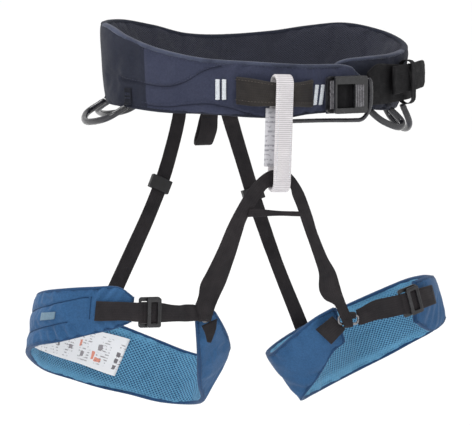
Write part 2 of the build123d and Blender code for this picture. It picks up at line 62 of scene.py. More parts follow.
# ---------------- curves
def between(rows, at):
    """Values of a table at one place, eased smoothly from row to row."""
    last = len(rows) - 2
    i = 0
    while i < last and at > rows[i + 1][0]:
        i += 1
    a, b = rows[i], rows[i + 1]
    before, after = rows[max(i - 1, 0)], rows[min(i + 2, len(rows) - 1)]
    span = b[0] - a[0]
    t = min(max((at - a[0]) / span, 0.0), 1.0)
    values = []
    for k in range(1, len(a)):
        slope_a = (b[k] - before[k]) / (b[0] - before[0]) if i > 0 else 0.0
        slope_b = (after[k] - a[k]) / (after[0] - a[0]) if i < last else 0.0
        values.append(
            a[k] * (2 * t**3 - 3 * t**2 + 1)
            + b[k] * (3 * t**2 - 2 * t**3)
            + span * slope_a * (t**3 - 2 * t**2 + t)
            + span * slope_b * (t**3 - t**2)
        )
    return values


def smooth(rows, steps):
    """More rows on a smooth curve through the given rows."""
    rows = [[float(v) for v in row] for row in rows]
    fine = []
    for i in range(len(rows) - 1):
        p1, p2 = rows[i], rows[i + 1]
        p0 = rows[i - 1] if i > 0 else [2 * a - b for a, b in zip(p1, p2)]
        p3 = rows[i + 2] if i + 2 < len(rows) else [2 * b - a for a, b in zip(p1, p2)]
        for k in range(steps):
            t = k / steps
            fine.append([
                0.5 * (2 * b + (c - a) * t + (2 * a - 5 * b + 4 * c - d) * t**2
                       + (3 * b - a - 3 * c + d) * t**3)
                for a, b, c, d in zip(p0, p1, p2, p3)
            ])
    fine.append(rows[-1])
    return fine


class Station:
    """One place along a band: its middle, the directions across (towards the first edge) and out, half
    its width, the length so far and the row number."""

    def __init__(self, mid, across, out, half, at, row):
        self.mid, self.across, self.out = mid, across, out
        self.half, self.at, self.row = half, at, row

    def point(self, s, lift=0.0):
        """s is -1 at the second edge and 1 at the first edge."""
        return self.mid + self.across * (s * self.half) + self.out * lift


def stations(rows, step, side=1, fineness=8):
    """Evenly spaced stations along a band given by rows of first-edge and second-edge points."""
    fine = smooth(rows, fineness) if fineness > 1 else rows
    first = [Vector(row[:3]) for row in fine]
    second = [Vector(row[3:6]) for row in fine]
    run = [0.0]
    for i in range(1, len(fine)):
        run.append(run[-1] + ((first[i] + second[i]) - (first[i - 1] + second[i - 1])).length / 2)
    count = max(2, round(run[-1] / step))
    pairs = []
    k = 0
    for i in range(count + 1):
        at = run[-1] * i / count
        while k < len(fine) - 2 and run[k + 1] < at:
            k += 1
        t = min(max((at - run[k]) / max(run[k + 1] - run[k], 1e-9), 0.0), 1.0)
        edges = first[k].lerp(first[k + 1], t), second[k].lerp(second[k + 1], t)
        pairs.append((*edges, at, (k + t) / fineness))
    result = []
    for i, (a, b, at, row) in enumerate(pairs):
        before, after = pairs[max(i - 1, 0)], pairs[min(i + 1, count)]
        ahead = (after[0] + after[1]) - (before[0] + before[1])
        across = a - b
        half = across.length / 2
        across.normalize()
        out = ahead.cross(across).normalized() * side
        result.append(Station((a + b) / 2, across, out, half, at, row))
    return result


def at_row(line, row):
    """The station nearest to a row number."""
    return min(line, key=lambda station: abs(station.row - row))


# ---------------- meshes
def finish_mesh(name, points, faces, uvs, materials, face_slots=None):
    """A mesh object in metres from points in millimetres. uvs is one (u, v) in millimetres a point."""
    mesh = bpy.data.meshes.new(name)
    mesh.from_pydata([p * MM for p in points], [], faces)
    for material in materials:
        mesh.materials.append(material)
    if face_slots:
        for polygon, slot in zip(mesh.polygons, face_slots):
            polygon.material_index = slot
    layer = mesh.uv_layers.new(name="flat")
    for loop in mesh.loops:
        layer.data[loop.index].uv = uvs[loop.vertex_index]
    work = bmesh.new()
    work.from_mesh(mesh)
    bmesh.ops.recalc_face_normals(work, faces=work.faces)
    work.to_mesh(mesh)
    work.free()
    for polygon in mesh.polygons:
        polygon.use_smooth = True
    obj = bpy.data.objects.new(name, mesh)
    scene.collection.objects.link(obj)
    return obj


def skin(name, rings, uv_rings, materials, slot_of=None, closed=False, caps=True):
    """Quads between rings of points, with flat caps at both ends unless the rings close on themselves."""
    n = len(rings[0])
    points = [p for ring in rings for p in ring]
    uvs = [uv for ring in uv_rings for uv in ring]
    faces, slots = [], []
    count = len(rings)
    for i in range(count if closed else count - 1):
        following = (i + 1) % count
        for j in range(n):
            k = (j + 1) % n
            faces.append((i * n + j, i * n + k, following * n + k, following * n + j))
            slots.append(slot_of(i, j) if slot_of else 0)
    if caps and not closed:
        for i in (0, count - 1):
            faces.append(tuple(i * n + j for j in range(n)))
            slots.append(0)
    return finish_mesh(name, points, faces, uvs, materials, slots)


def upright(rows):
    """Band rows from (x, y, top, bottom): the second edge is straight under the first."""
    return [(x, y, top, x, y, bottom) for x, y, top, bottom in rows]


def same_depth(rows):
    """Band rows from (y, x, z, x, z): both edges are as deep."""
    return [(x1, y, z1, x2, y, z2) for y, x1, z1, x2, z2 in rows]


def ribbon(name, rows, thick, materials, side=1, lift=0.0, step=2.5, across=8, shape=None, closed=False):
    """Flat webbing with rounded edges along a band. shape(station, s) pushes it out in places."""
    line = rows if isinstance(rows[0], Station) else stations(rows, step, side)
    r = thick / 2
    rings, uv_rings = [], []
    for station in line:
        inset = 1 - r / station.half
        # place across the band, height in half thicknesses, place across for shape and cloth
        outline = []
        for face in (1, -1):
            for j in range(across + 1):
                s = face * (-1 + 2 * j / across) * inset
                outline.append((s, face, s))
            for turn in (45, 0, -45):
                s = inset + (1 - inset) * cos(radians(turn))
                outline.append((face * s, face * sin(radians(turn)), face))
        ring = []
        for s, high, at in outline:
            push = shape(station, at) if shape else 0.0
            ring.append(station.point(s, lift + r * high + push))
        rings.append(ring)
        uv_rings.append([(station.at, at * station.half) for _, _, at in outline])
    return skin(name, rings, uv_rings, materials, closed=closed)


def rounded(centre, x_dir, y_dir, half_x, half_y, corner, steps):
    """Points round a rectangle with round corners."""
    points = []
    for x, y, start in ((1, 1, 0), (-1, 1, 90), (-1, -1, 180), (1, -1, 270)):
        for k in range(steps + 1):
            a = radians(start + 90 / steps * k)
            points.append(centre + x_dir * (x * (half_x - corner) + corner * cos(a))
                          + y_dir * (y * (half_y - corner) + corner * sin(a)))
    return points


def rope(name, points, radius, materials, around=12, closed=False):
    """A round tube through points; radius is a number or radius(share of the way)."""
    points = [Vector(p) for p in points]
    count = len(points)
    run = [0.0]
    for i in range(1, count):
        run.append(run[-1] + (points[i] - points[i - 1]).length)
    side = None
    rings, uv_rings = [], []
    for i, p in enumerate(points):
        if closed:
            ahead = points[(i + 1) % count] - points[i - 1]
        else:
            ahead = points[min(i + 1, count - 1)] - points[max(i - 1, 0)]
        ahead.normalize()
        if side is None:
            side = ahead.orthogonal().normalized()
        side = (side - ahead * side.dot(ahead)).normalized()
        up = ahead.cross(side)
        r = radius(run[i] / run[-1]) if callable(radius) else radius
        ring, uv = [], []
        for j in range(around):
            a = tau * j / around
            ring.append(p + side * (r * cos(a)) + up * (r * sin(a)))
            uv.append((run[i], a * r))
        rings.append(ring)
        uv_rings.append(uv)
    return skin(name, rings, uv_rings, materials, closed=closed)


def join(name, objects):
    """Several new objects as one."""
    bpy.ops.object.select_all(action="DESELECT")
    for obj in objects:
        obj.select_set(True)
    bpy.context.view_layer.objects.active = objects[0]
    bpy.ops.object.join()
    objects[0].name = name
    objects[0].data.name = name
    return objects[0]


def apply_modifiers(obj):
    """Keeps what the modifiers make."""
    graph = bpy.context.evaluated_depsgraph_get()
    mesh = bpy.data.meshes.new_from_object(obj.evaluated_get(graph))
    obj.modifiers.clear()
    obj.data = mesh
    for polygon in mesh.polygons:
        polygon.use_smooth = True
    return obj


def hard_piece(name, width, material):
    """Rounds the edges of a hard CAD piece that stays as it is, and gives it a better material."""
    obj = nodes[name]
    weld = obj.modifiers.new("weld", "WELD")
    weld.merge_threshold = 0.00001
    bevel = obj.modifiers.new("bevel", "BEVEL")
    bevel.width = width * MM
    bevel.segments = 2
    bevel.limit_method = "ANGLE"
    bevel.angle_limit = radians(35)
    bevel.harden_normals = False
    if obj.material_slots:
        for slot in obj.material_slots:
            slot.material = material
    else:
        obj.data.materials.append(material)


def stitches(name, spots, material, length=2.4, radius=0.28):
    """Short threads lying on cloth. Each spot is (middle, direction, outward)."""
    points, faces = [], []
    for mid, ahead, out in spots:
        ahead = ahead.normalized()
        side = ahead.cross(out).normalized() * radius
        out = out.normalized() * radius
        base = len(points)
        half = ahead * (length / 2)
        near = ahead * (length / 4)
        points.append(mid - half - out * 0.6)
        for centre in (mid - near, mid + near):
            points += [centre + side, centre + out, centre - side, centre - out]
        points.append(mid + half - out * 0.6)
        for k in range(4):
            m = (k + 1) % 4
            faces.append((base, base + 1 + k, base + 1 + m))
            faces.append((base + 1 + k, base + 5 + k, base + 5 + m, base + 1 + m))
            faces.append((base + 5 + k, base + 9, base + 5 + m))
    uvs = [(p.x + p.y, p.z) for p in points]
    return finish_mesh(name, points, faces, uvs, [material])


def stitch_line(spots, pitch=3.4):
    """Evenly spaced spots along a line of (point, outward)."""
    result = []
    left = 0.0
    for (p, out), (q, _) in zip(spots, spots[1:]):
        ahead = q - p
        size = ahead.length
        if size < 1e-6:
            continue
        while left < size:
            result.append((p + ahead * (left / size), ahead, out))
            left += pitch
        left -= size
    return result


# ---------------- padded forms
CLOTH_FRAMES = 20
CLOTH = {
    "quality": 5,
    "mass": 0.2,
    "tension_stiffness": 12,
    "compression_stiffness": 12,
    "shear_stiffness": 4,
    "bending_stiffness": 0.15,
    "vertex_group_mass": "seams",
    "pin_stiffness": 1,
}


def inflate(obj, seams, pressure, cap, grow):
    """Blows a closed cloth form up a little with its seams held, and keeps the result."""
    group = obj.vertex_groups.new(name="seams")
    group.add(seams, 1.0, "REPLACE")
    rest = [v.co.copy() for v in obj.data.vertices]
    cloth = obj.modifiers.new("cloth", "CLOTH")
    settings = cloth.settings
    for key, value in CLOTH.items():
        setattr(settings, key, value)
    settings.use_pressure = True
    settings.uniform_pressure_force = pressure
    settings.shrink_min = -grow
    settings.effector_weights.gravity = 0
    cloth.collision_settings.use_collision = False
    cloth.point_cache.frame_start = 1
    cloth.point_cache.frame_end = CLOTH_FRAMES
    for number in range(1, CLOTH_FRAMES + 1):
        scene.frame_set(number)
    graph = bpy.context.evaluated_depsgraph_get()
    shaped = [v.co.copy() for v in obj.evaluated_get(graph).data.vertices]
    obj.modifiers.remove(cloth)
    obj.vertex_groups.remove(group)
    limit = cap * MM
    for v, old, new in zip(obj.data.vertices, rest, shaped):
        move = new - old
        if move.length > limit:
            move *= limit / move.length
        v.co = old + move
    scene.frame_set(1)


def pad(name, line, edge, middle, across, materials, slots, groove=None, pressure=4.0, cap=5.0, grow=0.02,
        shape=None):
    """A padded band: crowned both sides, thin at its edges, with sewn grooves.

    groove(station, s) is 0 on open cloth and 1 in the bottom of a seam on the outer face.
    """
    rings, uv_rings, held = [], [], []
    count = len(line)
    for i, station in enumerate(line):
        ring, uv = [], []
        for face in (1, -1):
            for j in range(across + 1):
                s = face * (-1 + 2 * j / across)
                deep = groove(station, s) if groove and face > 0 else 0.0
                h = edge / 2 + (middle - edge) / 2 * (1 - abs(s)**5)
                h -= deep * (middle - edge) * 0.7
                push = shape(station, s, face) if shape else 0.0
                if abs(s) > 0.999 or i in (0, count - 1) or deep > 0.55:
                    held.append(i * 2 * (across + 1) + len(ring))
                ring.append(station.point(s, face * h + push))
                uv.append((station.at, s * station.half))
        rings.append(ring)
        uv_rings.append(uv)

    obj = skin(name, rings, uv_rings, materials, slot_of=lambda i, j: slots(i, j, across), caps=False)
    # end caps of quads, so that the form is closed
    work = bmesh.new()
    work.from_mesh(obj.data)
    work.verts.ensure_lookup_table()
    n = 2 * (across + 1)
    layer = work.loops.layers.uv["flat"]
    for i in (0, count - 1):
        for j in range(across):
            corner = [i * n + j, i * n + j + 1, i * n + n - 2 - j, i * n + n - 1 - j]
            face = work.faces.new([work.verts[k] for k in corner])
            face.smooth = True
            for loop, k in zip(face.loops, corner):
                loop[layer].uv = uv_rings[i][k - i * n]
    bmesh.ops.recalc_face_normals(work, faces=work.faces)
    work.to_mesh(obj.data)
    work.free()
    inflate(obj, held, pressure, cap, grow)
    refine = obj.modifiers.new("refine", "SUBSURF")
    refine.levels = 1
    refine.render_levels = 1
    apply_modifiers(obj)
    return obj


def land(cloth, spots, gap=0.0):
    """Points on the outer face of a padded band, raised by gap, under spots of (point, outward)."""
    mesh = cloth.data
    faces = [list(face.vertices) for face in mesh.polygons]
    tree = BVHTree.FromPolygons([v.co for v in mesh.vertices], faces)
    landed = []
    for mid, out in spots:
        hit = tree.ray_cast((mid + out * 9) * MM, -out, 0.02)[0]
        landed.append((hit / MM if hit else mid + out * 2) + out * gap)
    return landed


# the radius of the dark cords in the sewn grooves: painted shade
SEAM_SHADE_CORD_R = 0.45


def seam_shade_cord(name, cloth, spots, material):
    """A fine dark cord lying in the groove of a padded band, along spots of (point, outward): painted shade
    in the groove.
    """
    return rope(name, land(cloth, spots), SEAM_SHADE_CORD_R, [material], 8)


def edge_tape(name, line, s, high, wide, materials, slot_at=None):
    """Tape folded over one edge of a padded band."""
    rings, uv_rings = [], []
    sign = 1 if s > 0 else -1
    for station in line:
        ring, uv = [], []
        for k in range(14):
            a = tau * k / 14
            c, d = cos(a), sin(a)
            # a rounded box, higher than wide
            x = (abs(c)**0.75) * (1 if c >= 0 else -1) * wide / 2
            z = (abs(d)**0.75) * (1 if d >= 0 else -1) * high / 2
            wrinkle = 0.10 * noise.noise(Vector((station.at * 0.25, s * 7, k * 0.2)))
            ring.append(station.mid + station.across * (sign * (station.half - high * 0.30) + z)
                        + station.out * (x * (1 + wrinkle)))
            uv.append((station.at, k * 1.1))
        rings.append(ring)
        uv_rings.append(uv)
    return skin(name, rings, uv_rings, materials, slot_of=(lambda i, j: slot_at(i)) if slot_at else None)


# ---------------- materials
def tone(colour):
    """A colour given as three display values of 0 to 255."""
    def linear(v):
        v /= 255
        return v / 12.92 if v <= 0.04045 else ((v + 0.055) / 1.055)**2.4
    return (*(linear(v) for v in colour), 1.0)


class Look:
    """A node material under construction."""

    def __init__(self, name, roughness=0.8, sheen=0.0, metal=0.0, specular=0.4):
        self.material = bpy.data.materials.new(name)
        self.material.use_nodes = True
        self.tree = self.material.node_tree
        self.shader = self.tree.nodes["Principled BSDF"]
        for socket, value in (("Roughness", roughness), ("Metallic", metal), ("Specular IOR Level", specular),
                              ("Sheen Weight", sheen), ("Sheen Roughness", 0.45)):
            self.shader.inputs[socket].default_value = value

    def node(self, kind, inputs=None, output=0, **settings):
        node = self.tree.nodes.new(kind)
        for key, value in settings.items():
            setattr(node, key, value)
        for key, value in (inputs or {}).items():
            if hasattr(value, "is_output"):
                self.tree.links.new(value, node.inputs[key])
            else:
                node.inputs[key].default_value = value
        return node.outputs[output]

    def math(self, operation, a, b=0.0, c=0.0):
        return self.node("ShaderNodeMath", {0: a, 1: b, 2: c}, operation=operation)

    def times(self, a, b):
        return self.math("MULTIPLY", a, b)

    def flat(self):
        """The cloth's own coordinates in millimetres: along and across."""
        uv = self.node("ShaderNodeUVMap", uv_map="flat")
        split = self.tree.nodes.new("ShaderNodeSeparateXYZ")
        self.tree.links.new(uv, split.inputs[0])
        return split.outputs[0], split.outputs[1]

    def space(self, scale):
        """Object coordinates, times scale a metre."""
        place = self.node("ShaderNodeTexCoord", output=3)
        return self.node("ShaderNodeVectorMath", {0: place, 1: (scale, scale, scale)}, operation="MULTIPLY")

    def noise(self, scale, detail=2.0, rough=0.5):
        return self.node("ShaderNodeTexNoise", {
            "Vector": self.space(1.0),
            "Scale": scale,
            "Detail": detail,
            "Roughness": rough,
        })

    def spread(self, value, low, high, to_low=0.0, to_high=1.0):
        return self.node("ShaderNodeMapRange", {0: value, 1: low, 2: high, 3: to_low, 4: to_high})

    def mix(self, share, first, second, kind="MIX"):
        return self.node("ShaderNodeMixRGB", {0: share, 1: first, 2: second}, blend_type=kind)

    def shaded(self, base, shade):
        """A colour times a grey shade."""
        grey = self.node("ShaderNodeCombineColor", {0: shade, 1: shade, 2: shade})
        return self.mix(1.0, base, grey, "MULTIPLY")

    def near(self, value, middle, reach, waver):
        """1 within reach of the middle, with a wavering edge."""
        shifted = self.math("ADD", self.math("SUBTRACT", value, middle), waver)
        return self.math("LESS_THAN", self.math("ABSOLUTE", shifted), reach)

    def wave(self, value, pitch):
        """0 to 1 and back once each pitch."""
        turn = self.math("MULTIPLY", value, tau / pitch)
        return self.math("MULTIPLY_ADD", self.math("SINE", turn), 0.5, 0.5)

    def colour(self, value):
        if hasattr(value, "is_output"):
            self.tree.links.new(value, self.shader.inputs["Base Color"])
        else:
            self.shader.inputs["Base Color"].default_value = value

    def rough(self, value):
        self.tree.links.new(value, self.shader.inputs["Roughness"])

    def bump(self, height, distance, strength=1.0):
        normal = self.node("ShaderNodeBump",
                           {"Height": height, "Distance": distance * MM, "Strength": strength})
        self.tree.links.new(normal, self.shader.inputs["Normal"])


def woven(name, light, dark, pitch=1.1, sheen=0.25, roughness=0.82, cloudy=0.5):
    """Plain woven cloth with slight fading and creases."""
    look = Look(name, roughness, sheen, 0.0, 0.2)
    u, v = look.flat()
    warp, weft = look.wave(u, pitch), look.wave(v, pitch)
    over = look.wave(look.math("ADD", u, v), pitch * 2)
    weave = look.times(look.math("MAXIMUM", warp, weft), look.spread(over, 0, 1, 0.75, 1.0))
    patches = look.spread(look.noise(26, 4, 0.6), 0.32, 0.68)
    base = look.mix(look.times(patches, cloudy), tone(light), tone(dark))
    fine = look.spread(look.noise(700, 2), 0.3, 0.7, 0.86, 1.08)
    shade = look.times(look.spread(weave, 0, 1, 0.82, 1.05), fine)
    look.colour(look.shaded(base, shade))
    wrinkles = look.noise(90, 3, 0.6)
    look.bump(look.math("MULTIPLY_ADD", weave, 0.35, wrinkles), 0.55, 0.6)
    look.rough(look.spread(look.noise(60, 2), 0.3, 0.7, roughness - 0.06, roughness + 0.08))
    return look.material


def webbing(name, light, dark, pitch=1.5, sheen=0.2, roughness=0.72, depth=0.5, cross=0.6, lengthwise=0.35):
    """Load webbing: a fine rib across and a chevron along, worn a little at random."""
    look = Look(name, roughness, sheen, 0.0, 0.2)
    u, v = look.flat()
    slant = look.math("PINGPONG", v, 2.2)
    chevron = look.wave(look.math("MULTIPLY_ADD", slant, cross, u), pitch)
    lines = look.wave(v, 2.2)
    weave = look.math("MULTIPLY_ADD", lines, lengthwise, look.times(chevron, 1 - lengthwise))
    patches = look.spread(look.noise(45, 4, 0.65), 0.3, 0.7)
    base = look.mix(patches, tone(light), tone(dark))
    shade = look.spread(weave, 0, 1, 0.70, 1.12)
    look.colour(look.shaded(base, shade))
    look.bump(weave, 0.35, depth)
    look.rough(look.spread(look.noise(120, 2), 0.3, 0.7, roughness - 0.1, roughness + 0.1))
    return look.material


def mesh_knit(name, light, hole_shade, pitch, row, size, edge, sheen):
    """Spacer mesh: open round holes in offset rows, fading out towards the edges of the cloth."""
    look = Look(name, 0.85, sheen, 0.0, 0.2)
    u, v = look.flat()
    a = look.math("DIVIDE", u, pitch)
    b = look.math("DIVIDE", v, row)
    far = None
    for shift in (0.0, 0.5):
        x = look.math("SUBTRACT", look.math("FRACT", look.math("ADD", a, shift)), 0.5)
        y = look.math("SUBTRACT", look.math("FRACT", look.math("ADD", b, shift)), 0.5)
        x = look.times(x, pitch)
        y = look.times(y, row)
        reach = look.math("SQRT", look.math("ADD", look.times(x, x), look.times(y, y)))
        far = reach if far is None else look.math("MINIMUM", far, reach)
    holes = look.spread(far, size * 0.55, size * 1.15, 1.0, 0.0)
    rim = look.spread(look.math("ABSOLUTE", v), edge, edge + 5.0, 1.0, 0.25)
    holes = look.times(holes, rim)
    patches = look.spread(look.noise(24, 3, 0.55), 0.3, 0.7, 0.88, 1.08)
    base = look.shaded(tone(light), patches)
    threads = look.spread(look.noise(900, 1), 0.3, 0.7, 0.9, 1.06)
    base = look.shaded(base, threads)
    # the holes take a darker colour: painted shade in their depth
    look.colour(look.mix(holes, base, tone(hole_shade)))
    look.bump(look.times(holes, -1.0), 0.8, 0.9)
    return look.material


def moulded(name, colour, wear, roughness=0.45, scale=180, metal=0.0, coat=0.0):
    """Moulded plastic or coated metal with a fine grain and paler rubbed places."""
    look = Look(name, roughness, 0.0, metal, 0.5)
    look.shader.inputs["Coat Weight"].default_value = coat
    rubbed = look.spread(look.noise(scale, 5, 0.7), 0.45, 0.75)
    look.colour(look.mix(rubbed, tone(colour), tone(wear)))
    look.rough(look.spread(look.noise(scale * 2, 3), 0.3, 0.7, roughness - 0.1, roughness + 0.14))
    look.bump(look.noise(scale * 5, 2), 0.06, 0.5)
    return look.material


WARM_INK = (222, 120, 84)
GREY_INK = (128, 120, 124)
DARK_INK = (66, 60, 66)
CARE_BLOCKS = (
    (11, -11.0, 1.8, 2.3, DARK_INK),
    (11, -4.5, 1.8, 2.0, DARK_INK),
    (11, 1.5, 1.8, 2.0, DARK_INK),
    (30, -9.0, 3.4, 2.2, WARM_INK),
    (36, -6.0, 1.5, 3.6, WARM_INK),
    (31, 3.5, 2.8, 2.2, GREY_INK),
    (49, -7.0, 2.2, 2.4, GREY_INK),
    (54, 2.5, 1.4, 2.8, WARM_INK),
    (66, -3.0, 2.6, 2.0, GREY_INK),
    (70, 4.0, 1.4, 2.4, DARK_INK),
    (84, 0.0, 1.6, 5.0, DARK_INK),
)


def printed(name, paper, ink, kind):
    """A plain printed label: generic bars and blocks, no lettering."""
    look = Look(name, 0.55, 0.1)
    u, v = look.flat()
    paper = tone(paper)
    if kind == "care":
        columns = look.math("GREATER_THAN", look.wave(u, 21.0), 0.30)
        lines = look.math("GREATER_THAN", look.wave(v, 2.6), 0.60)
        broken = look.spread(look.noise(300, 2, 0.6), 0.49, 0.54)
        inside = look.math("LESS_THAN", look.math("ABSOLUTE", v), 14.0)
        mark = look.times(look.times(columns, lines), look.times(broken, inside))
        # blocks of print with soft, uneven edges: along, across, half length, half height, colour
        waver = look.math("MULTIPLY_ADD", look.noise(160, 2, 0.5), 3.4, -1.7)
        for at_u, at_v, long, high, colour in CARE_BLOCKS:
            near_u, near_v = look.near(u, at_u, long, waver), look.near(v, at_v, high, waver)
            paper = look.mix(look.times(look.times(near_u, near_v), 0.85), paper, tone(colour))
    else:
        lines = look.math("GREATER_THAN", look.wave(v, 4.2), 0.62)
        broken = look.spread(look.noise(300, 1), 0.46, 0.52)
        mark = look.times(lines, broken)
    faded = look.spread(look.noise(80, 3), 0.3, 0.7, 0.45, 0.85)
    look.colour(look.mix(look.times(mark, faded), paper, tone(ink)))
    look.bump(look.noise(150, 3), 0.2, 0.4)
    return look.material


belt_cloth = woven("belt_cloth", (58, 62, 82), (45, 49, 68), 1.0, 0.12)
# a darker copy of the belt cloth: painted shade, on the rest of the belt's outer face, its lower edge tape,
# the tongue end and the pad behind the buckle
belt_shaded_cloth = woven("belt_shaded_cloth", (43, 46, 59), (31, 34, 46), 1.0, 0.06)
# the colour of the dark cords in the belt's sunk seams: painted shade
belt_seam_shade = woven("belt_seam_shade", (42, 45, 61), (34, 36, 50), 1.0, 0.04)
# the second colour of each mesh lining fills its holes: painted shade
belt_lining = mesh_knit("belt_lining", (56, 58, 71), (32, 33, 42), 2.6, 2.2, 0.62, 30, 0.12)
belt_tape = woven("belt_tape", (78, 84, 104), (46, 50, 66), 0.8, 0.2, 0.82, 1.0)
# a darker copy of the belt tape: painted shade on the tape round the back of the belt
belt_shaded_tape = woven("belt_shaded_tape", (38, 41, 54), (28, 31, 42), 0.8, 0.06)
leg_cloth = woven("leg_cloth", (54, 95, 138), (37, 73, 112), 1.0, 0.12)
# the colour of the dark cords in the leg pad's sunk seams: painted shade
leg_seam_shade = woven("leg_seam_shade", (34, 66, 102), (26, 54, 88), 1.0, 0.05)
leg_lining = mesh_knit("leg_lining", (100, 158, 194), (34, 78, 118), 3.7, 3.2, 0.92, 21, 0.12)
leg_tape = woven("leg_tape", (40, 76, 116), (28, 56, 92), 0.8, 0.12)
black_webbing = webbing("black_webbing", (44, 40, 42), (28, 26, 29), 1.5, 0.05)
tie_in_webbing = webbing("tie_in_webbing", (52, 48, 45), (36, 33, 34), 1.7, 0.06)
strap_webbing = webbing("strap_webbing", (44, 40, 42), (30, 28, 31), 1.3, 0.05)
hip_webbing = webbing("hip_webbing", (16, 15, 18), (10, 9, 12), 1.3, 0.0)
tab_webbing = webbing("tab_webbing", (32, 34, 44), (22, 24, 32), 1.3, 0.0)
belay_webbing = webbing("belay_webbing", (224, 220, 222), (208, 204, 207), 1.75, 0.1, 0.8, 0.5, 0.0, 0.0)
thread_white = woven("thread_white", (232, 236, 240), (205, 212, 222), 0.9, 0.3)
thread_blue = woven("thread_blue", (64, 69, 90), (46, 51, 70), 0.9, 0.1)
thread_leg = woven("thread_leg", (62, 102, 146), (44, 80, 120), 0.9, 0.1)
tube_plastic = moulded("tube_plastic", (24, 24, 29), (46, 46, 54), 0.24, 90, 0.0, 0.3)
black_plastic = moulded("black_plastic", (16, 16, 17), (30, 29, 32), 0.45)
buckle_metal = moulded("buckle_metal", (16, 16, 18), (40, 39, 43), 0.36, 240, 0.0, 0.1)
buckle_dark = moulded("buckle_dark", (18, 18, 21), (44, 43, 47), 0.34, 240, 0.0, 0.12)
# pale grey for the waist buckle's ribs: painted highlight on them
rib_highlight_metal = moulded("rib_highlight_metal", (100, 98, 102), (146, 144, 150), 0.3, 240, 0.2, 0.2)
ring_steel = moulded("ring_steel", (128, 127, 130), (176, 175, 178), 0.24, 300, 0.9)
care_print = printed("care_print", (240, 240, 242), (120, 112, 116), "care")
belay_print = printed("belay_print", (196, 195, 200), (120, 120, 128), "lines")
tag_weave = woven("tag_weave", (122, 146, 162), (88, 116, 138), 0.8, 0.1)


def place(obj, body, slot, *replaced):
    """Fixes a new piece to its body."""
    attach(obj, body)
    if replaced:
        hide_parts(*replaced)
    return obj


def web(name, rows, thick, body, replaced=(), material=black_webbing, slot="black_webbing", **options):
    """A ribbon on its body, in the place of the CAD pieces it stands for."""
    return place(ribbon(name, rows, thick, [material], **options), body, slot, *replaced)


# ---------------- waist belt
BELT_HALF_WIDTH = 146
BELT_HALF_DEPTH = 93
BELT_CENTRE_X = 13
# turn round the ring from the front (0) towards the wearer's left (+): top, bottom, outward shift
BELT_ROWS = [
    (-345, 14, -12, -14.5),
    (-337, 24, -17, -14.5),
    (-325, 27, -19, -11),
    (-308, 29, -22, -6),
    (-288, 34, -21, -1),
    (-270, 41, -18, 0),
    (-254, 48, -16, 0),
    (-232, 55, -16, 0),
    (-215, 52, -19, 0),
    (-200, 47, -22, 0),
    (-180, 44, -24, 0),
    (-165, 46, -23, 0),
    (-150, 54, -20, 0),
    (-130, 60, -16, 0),
    (-105, 59, -14, 0),
    (-85, 56, -14.5, 0),
    (-70, 47, -16, 0),
    (-52, 36, -19, -1),
    (-35, 28.5, -20, -3),
    (-15, 25, -23.5, -4),
    (-3, 23, -24, -4),
    (5, 22, -21.5, -4),
    (18, 21.5, -20, -4),
    (24, 19, -19, -4),
    (28, 12, -14, -4),
]
# thickness at the edges and in the middle, and the outer face
BELT_EDGE, BELT_MIDDLE = 3.4, 7.4
BELT_FACE = 4.0
FIRST_TURN, LAST_TURN = -345, 28


def belt_point(turn, z, off, draw=0.0):
    angle = radians(turn)
    x = BELT_CENTRE_X + (BELT_HALF_WIDTH + off - draw) * sin(angle)
    y = -(BELT_HALF_DEPTH + off - draw) * cos(angle)
    return x, y, z


def hip_draw(turn):
    """How far the lower edge draws in on the hips, a little more on the buckle side."""
    side = sin(radians(turn))
    return (8.0 + 2.5 * side) * side**2


def belt_row(turn):
    top, bottom, off = between(BELT_ROWS, turn)
    return [*belt_point(turn, top, off), *belt_point(turn, bottom, off, hip_draw(turn))]


belt_line = stations([belt_row(turn) for turn in range(FIRST_TURN, LAST_TURN + 1)], 3.0, fineness=1)


def turn_of(station):
    return FIRST_TURN + station.row


def bump_at(value, middle, width):
    return exp(-((value - middle) / width)**2)


# sewn lines on the front panel: turn, then place between lower edge (-1) and upper edge (1)
WAVE_SEAM = [
    (-76, -0.24),
    (-59, -0.20),
    (-53, -0.17),
    (-47, -0.08),
    (-41, 0.16),
    (-36, 0.50),
    (-31, 0.72),
    (-27, 0.80),
]
LOWER_SEAM = [
    (-62, -0.84),
    (-50, -0.82),
    (-42, -0.72),
    (-33, -0.64),
    (-24, -0.74),
    (-16, -0.90),
]
PANEL_TURN = -61


def belt_groove(station, s):
    turn = turn_of(station)
    deep = 0.0
    if -76 < turn < -27:
        deep = max(deep, bump_at(s, between(WAVE_SEAM, turn)[0], 0.055))
    if -62 < turn < -16:
        deep = max(deep, 0.8 * bump_at(s, between(LOWER_SEAM, turn)[0], 0.06))
    deep = max(deep, 0.85 * bump_at(turn, PANEL_TURN, 0.9))
    return deep


def belt_shape(station, s, face):
    turn = turn_of(station)
    push = 0.0
    if face > 0:
        # the lip of the lower edge, and soft dents
        push += 2.2 * bump_at(turn, -33, 11) * bump_at(s, -0.86, 0.12)
        push += 0.5 * noise.noise(Vector((turn * 0.09, s * 1.6, 3.1)))
    else:
        push += 0.6 * noise.noise(Vector((turn * 0.05, s * 1.3, 8.7)))
    # the back of the belt rolls in a little at its top edge
    push -= 1.6 * bump_at(turn, -185, 40) * max(s * face, 0)**3
    return push


def belt_slot(i, j, across):
    if j > across:
        return 2
    # the front panel takes the belt cloth, the rest of the outer face its darker copy: painted shade
    return 0 if turn_of(belt_line[i]) > PANEL_TURN else 1


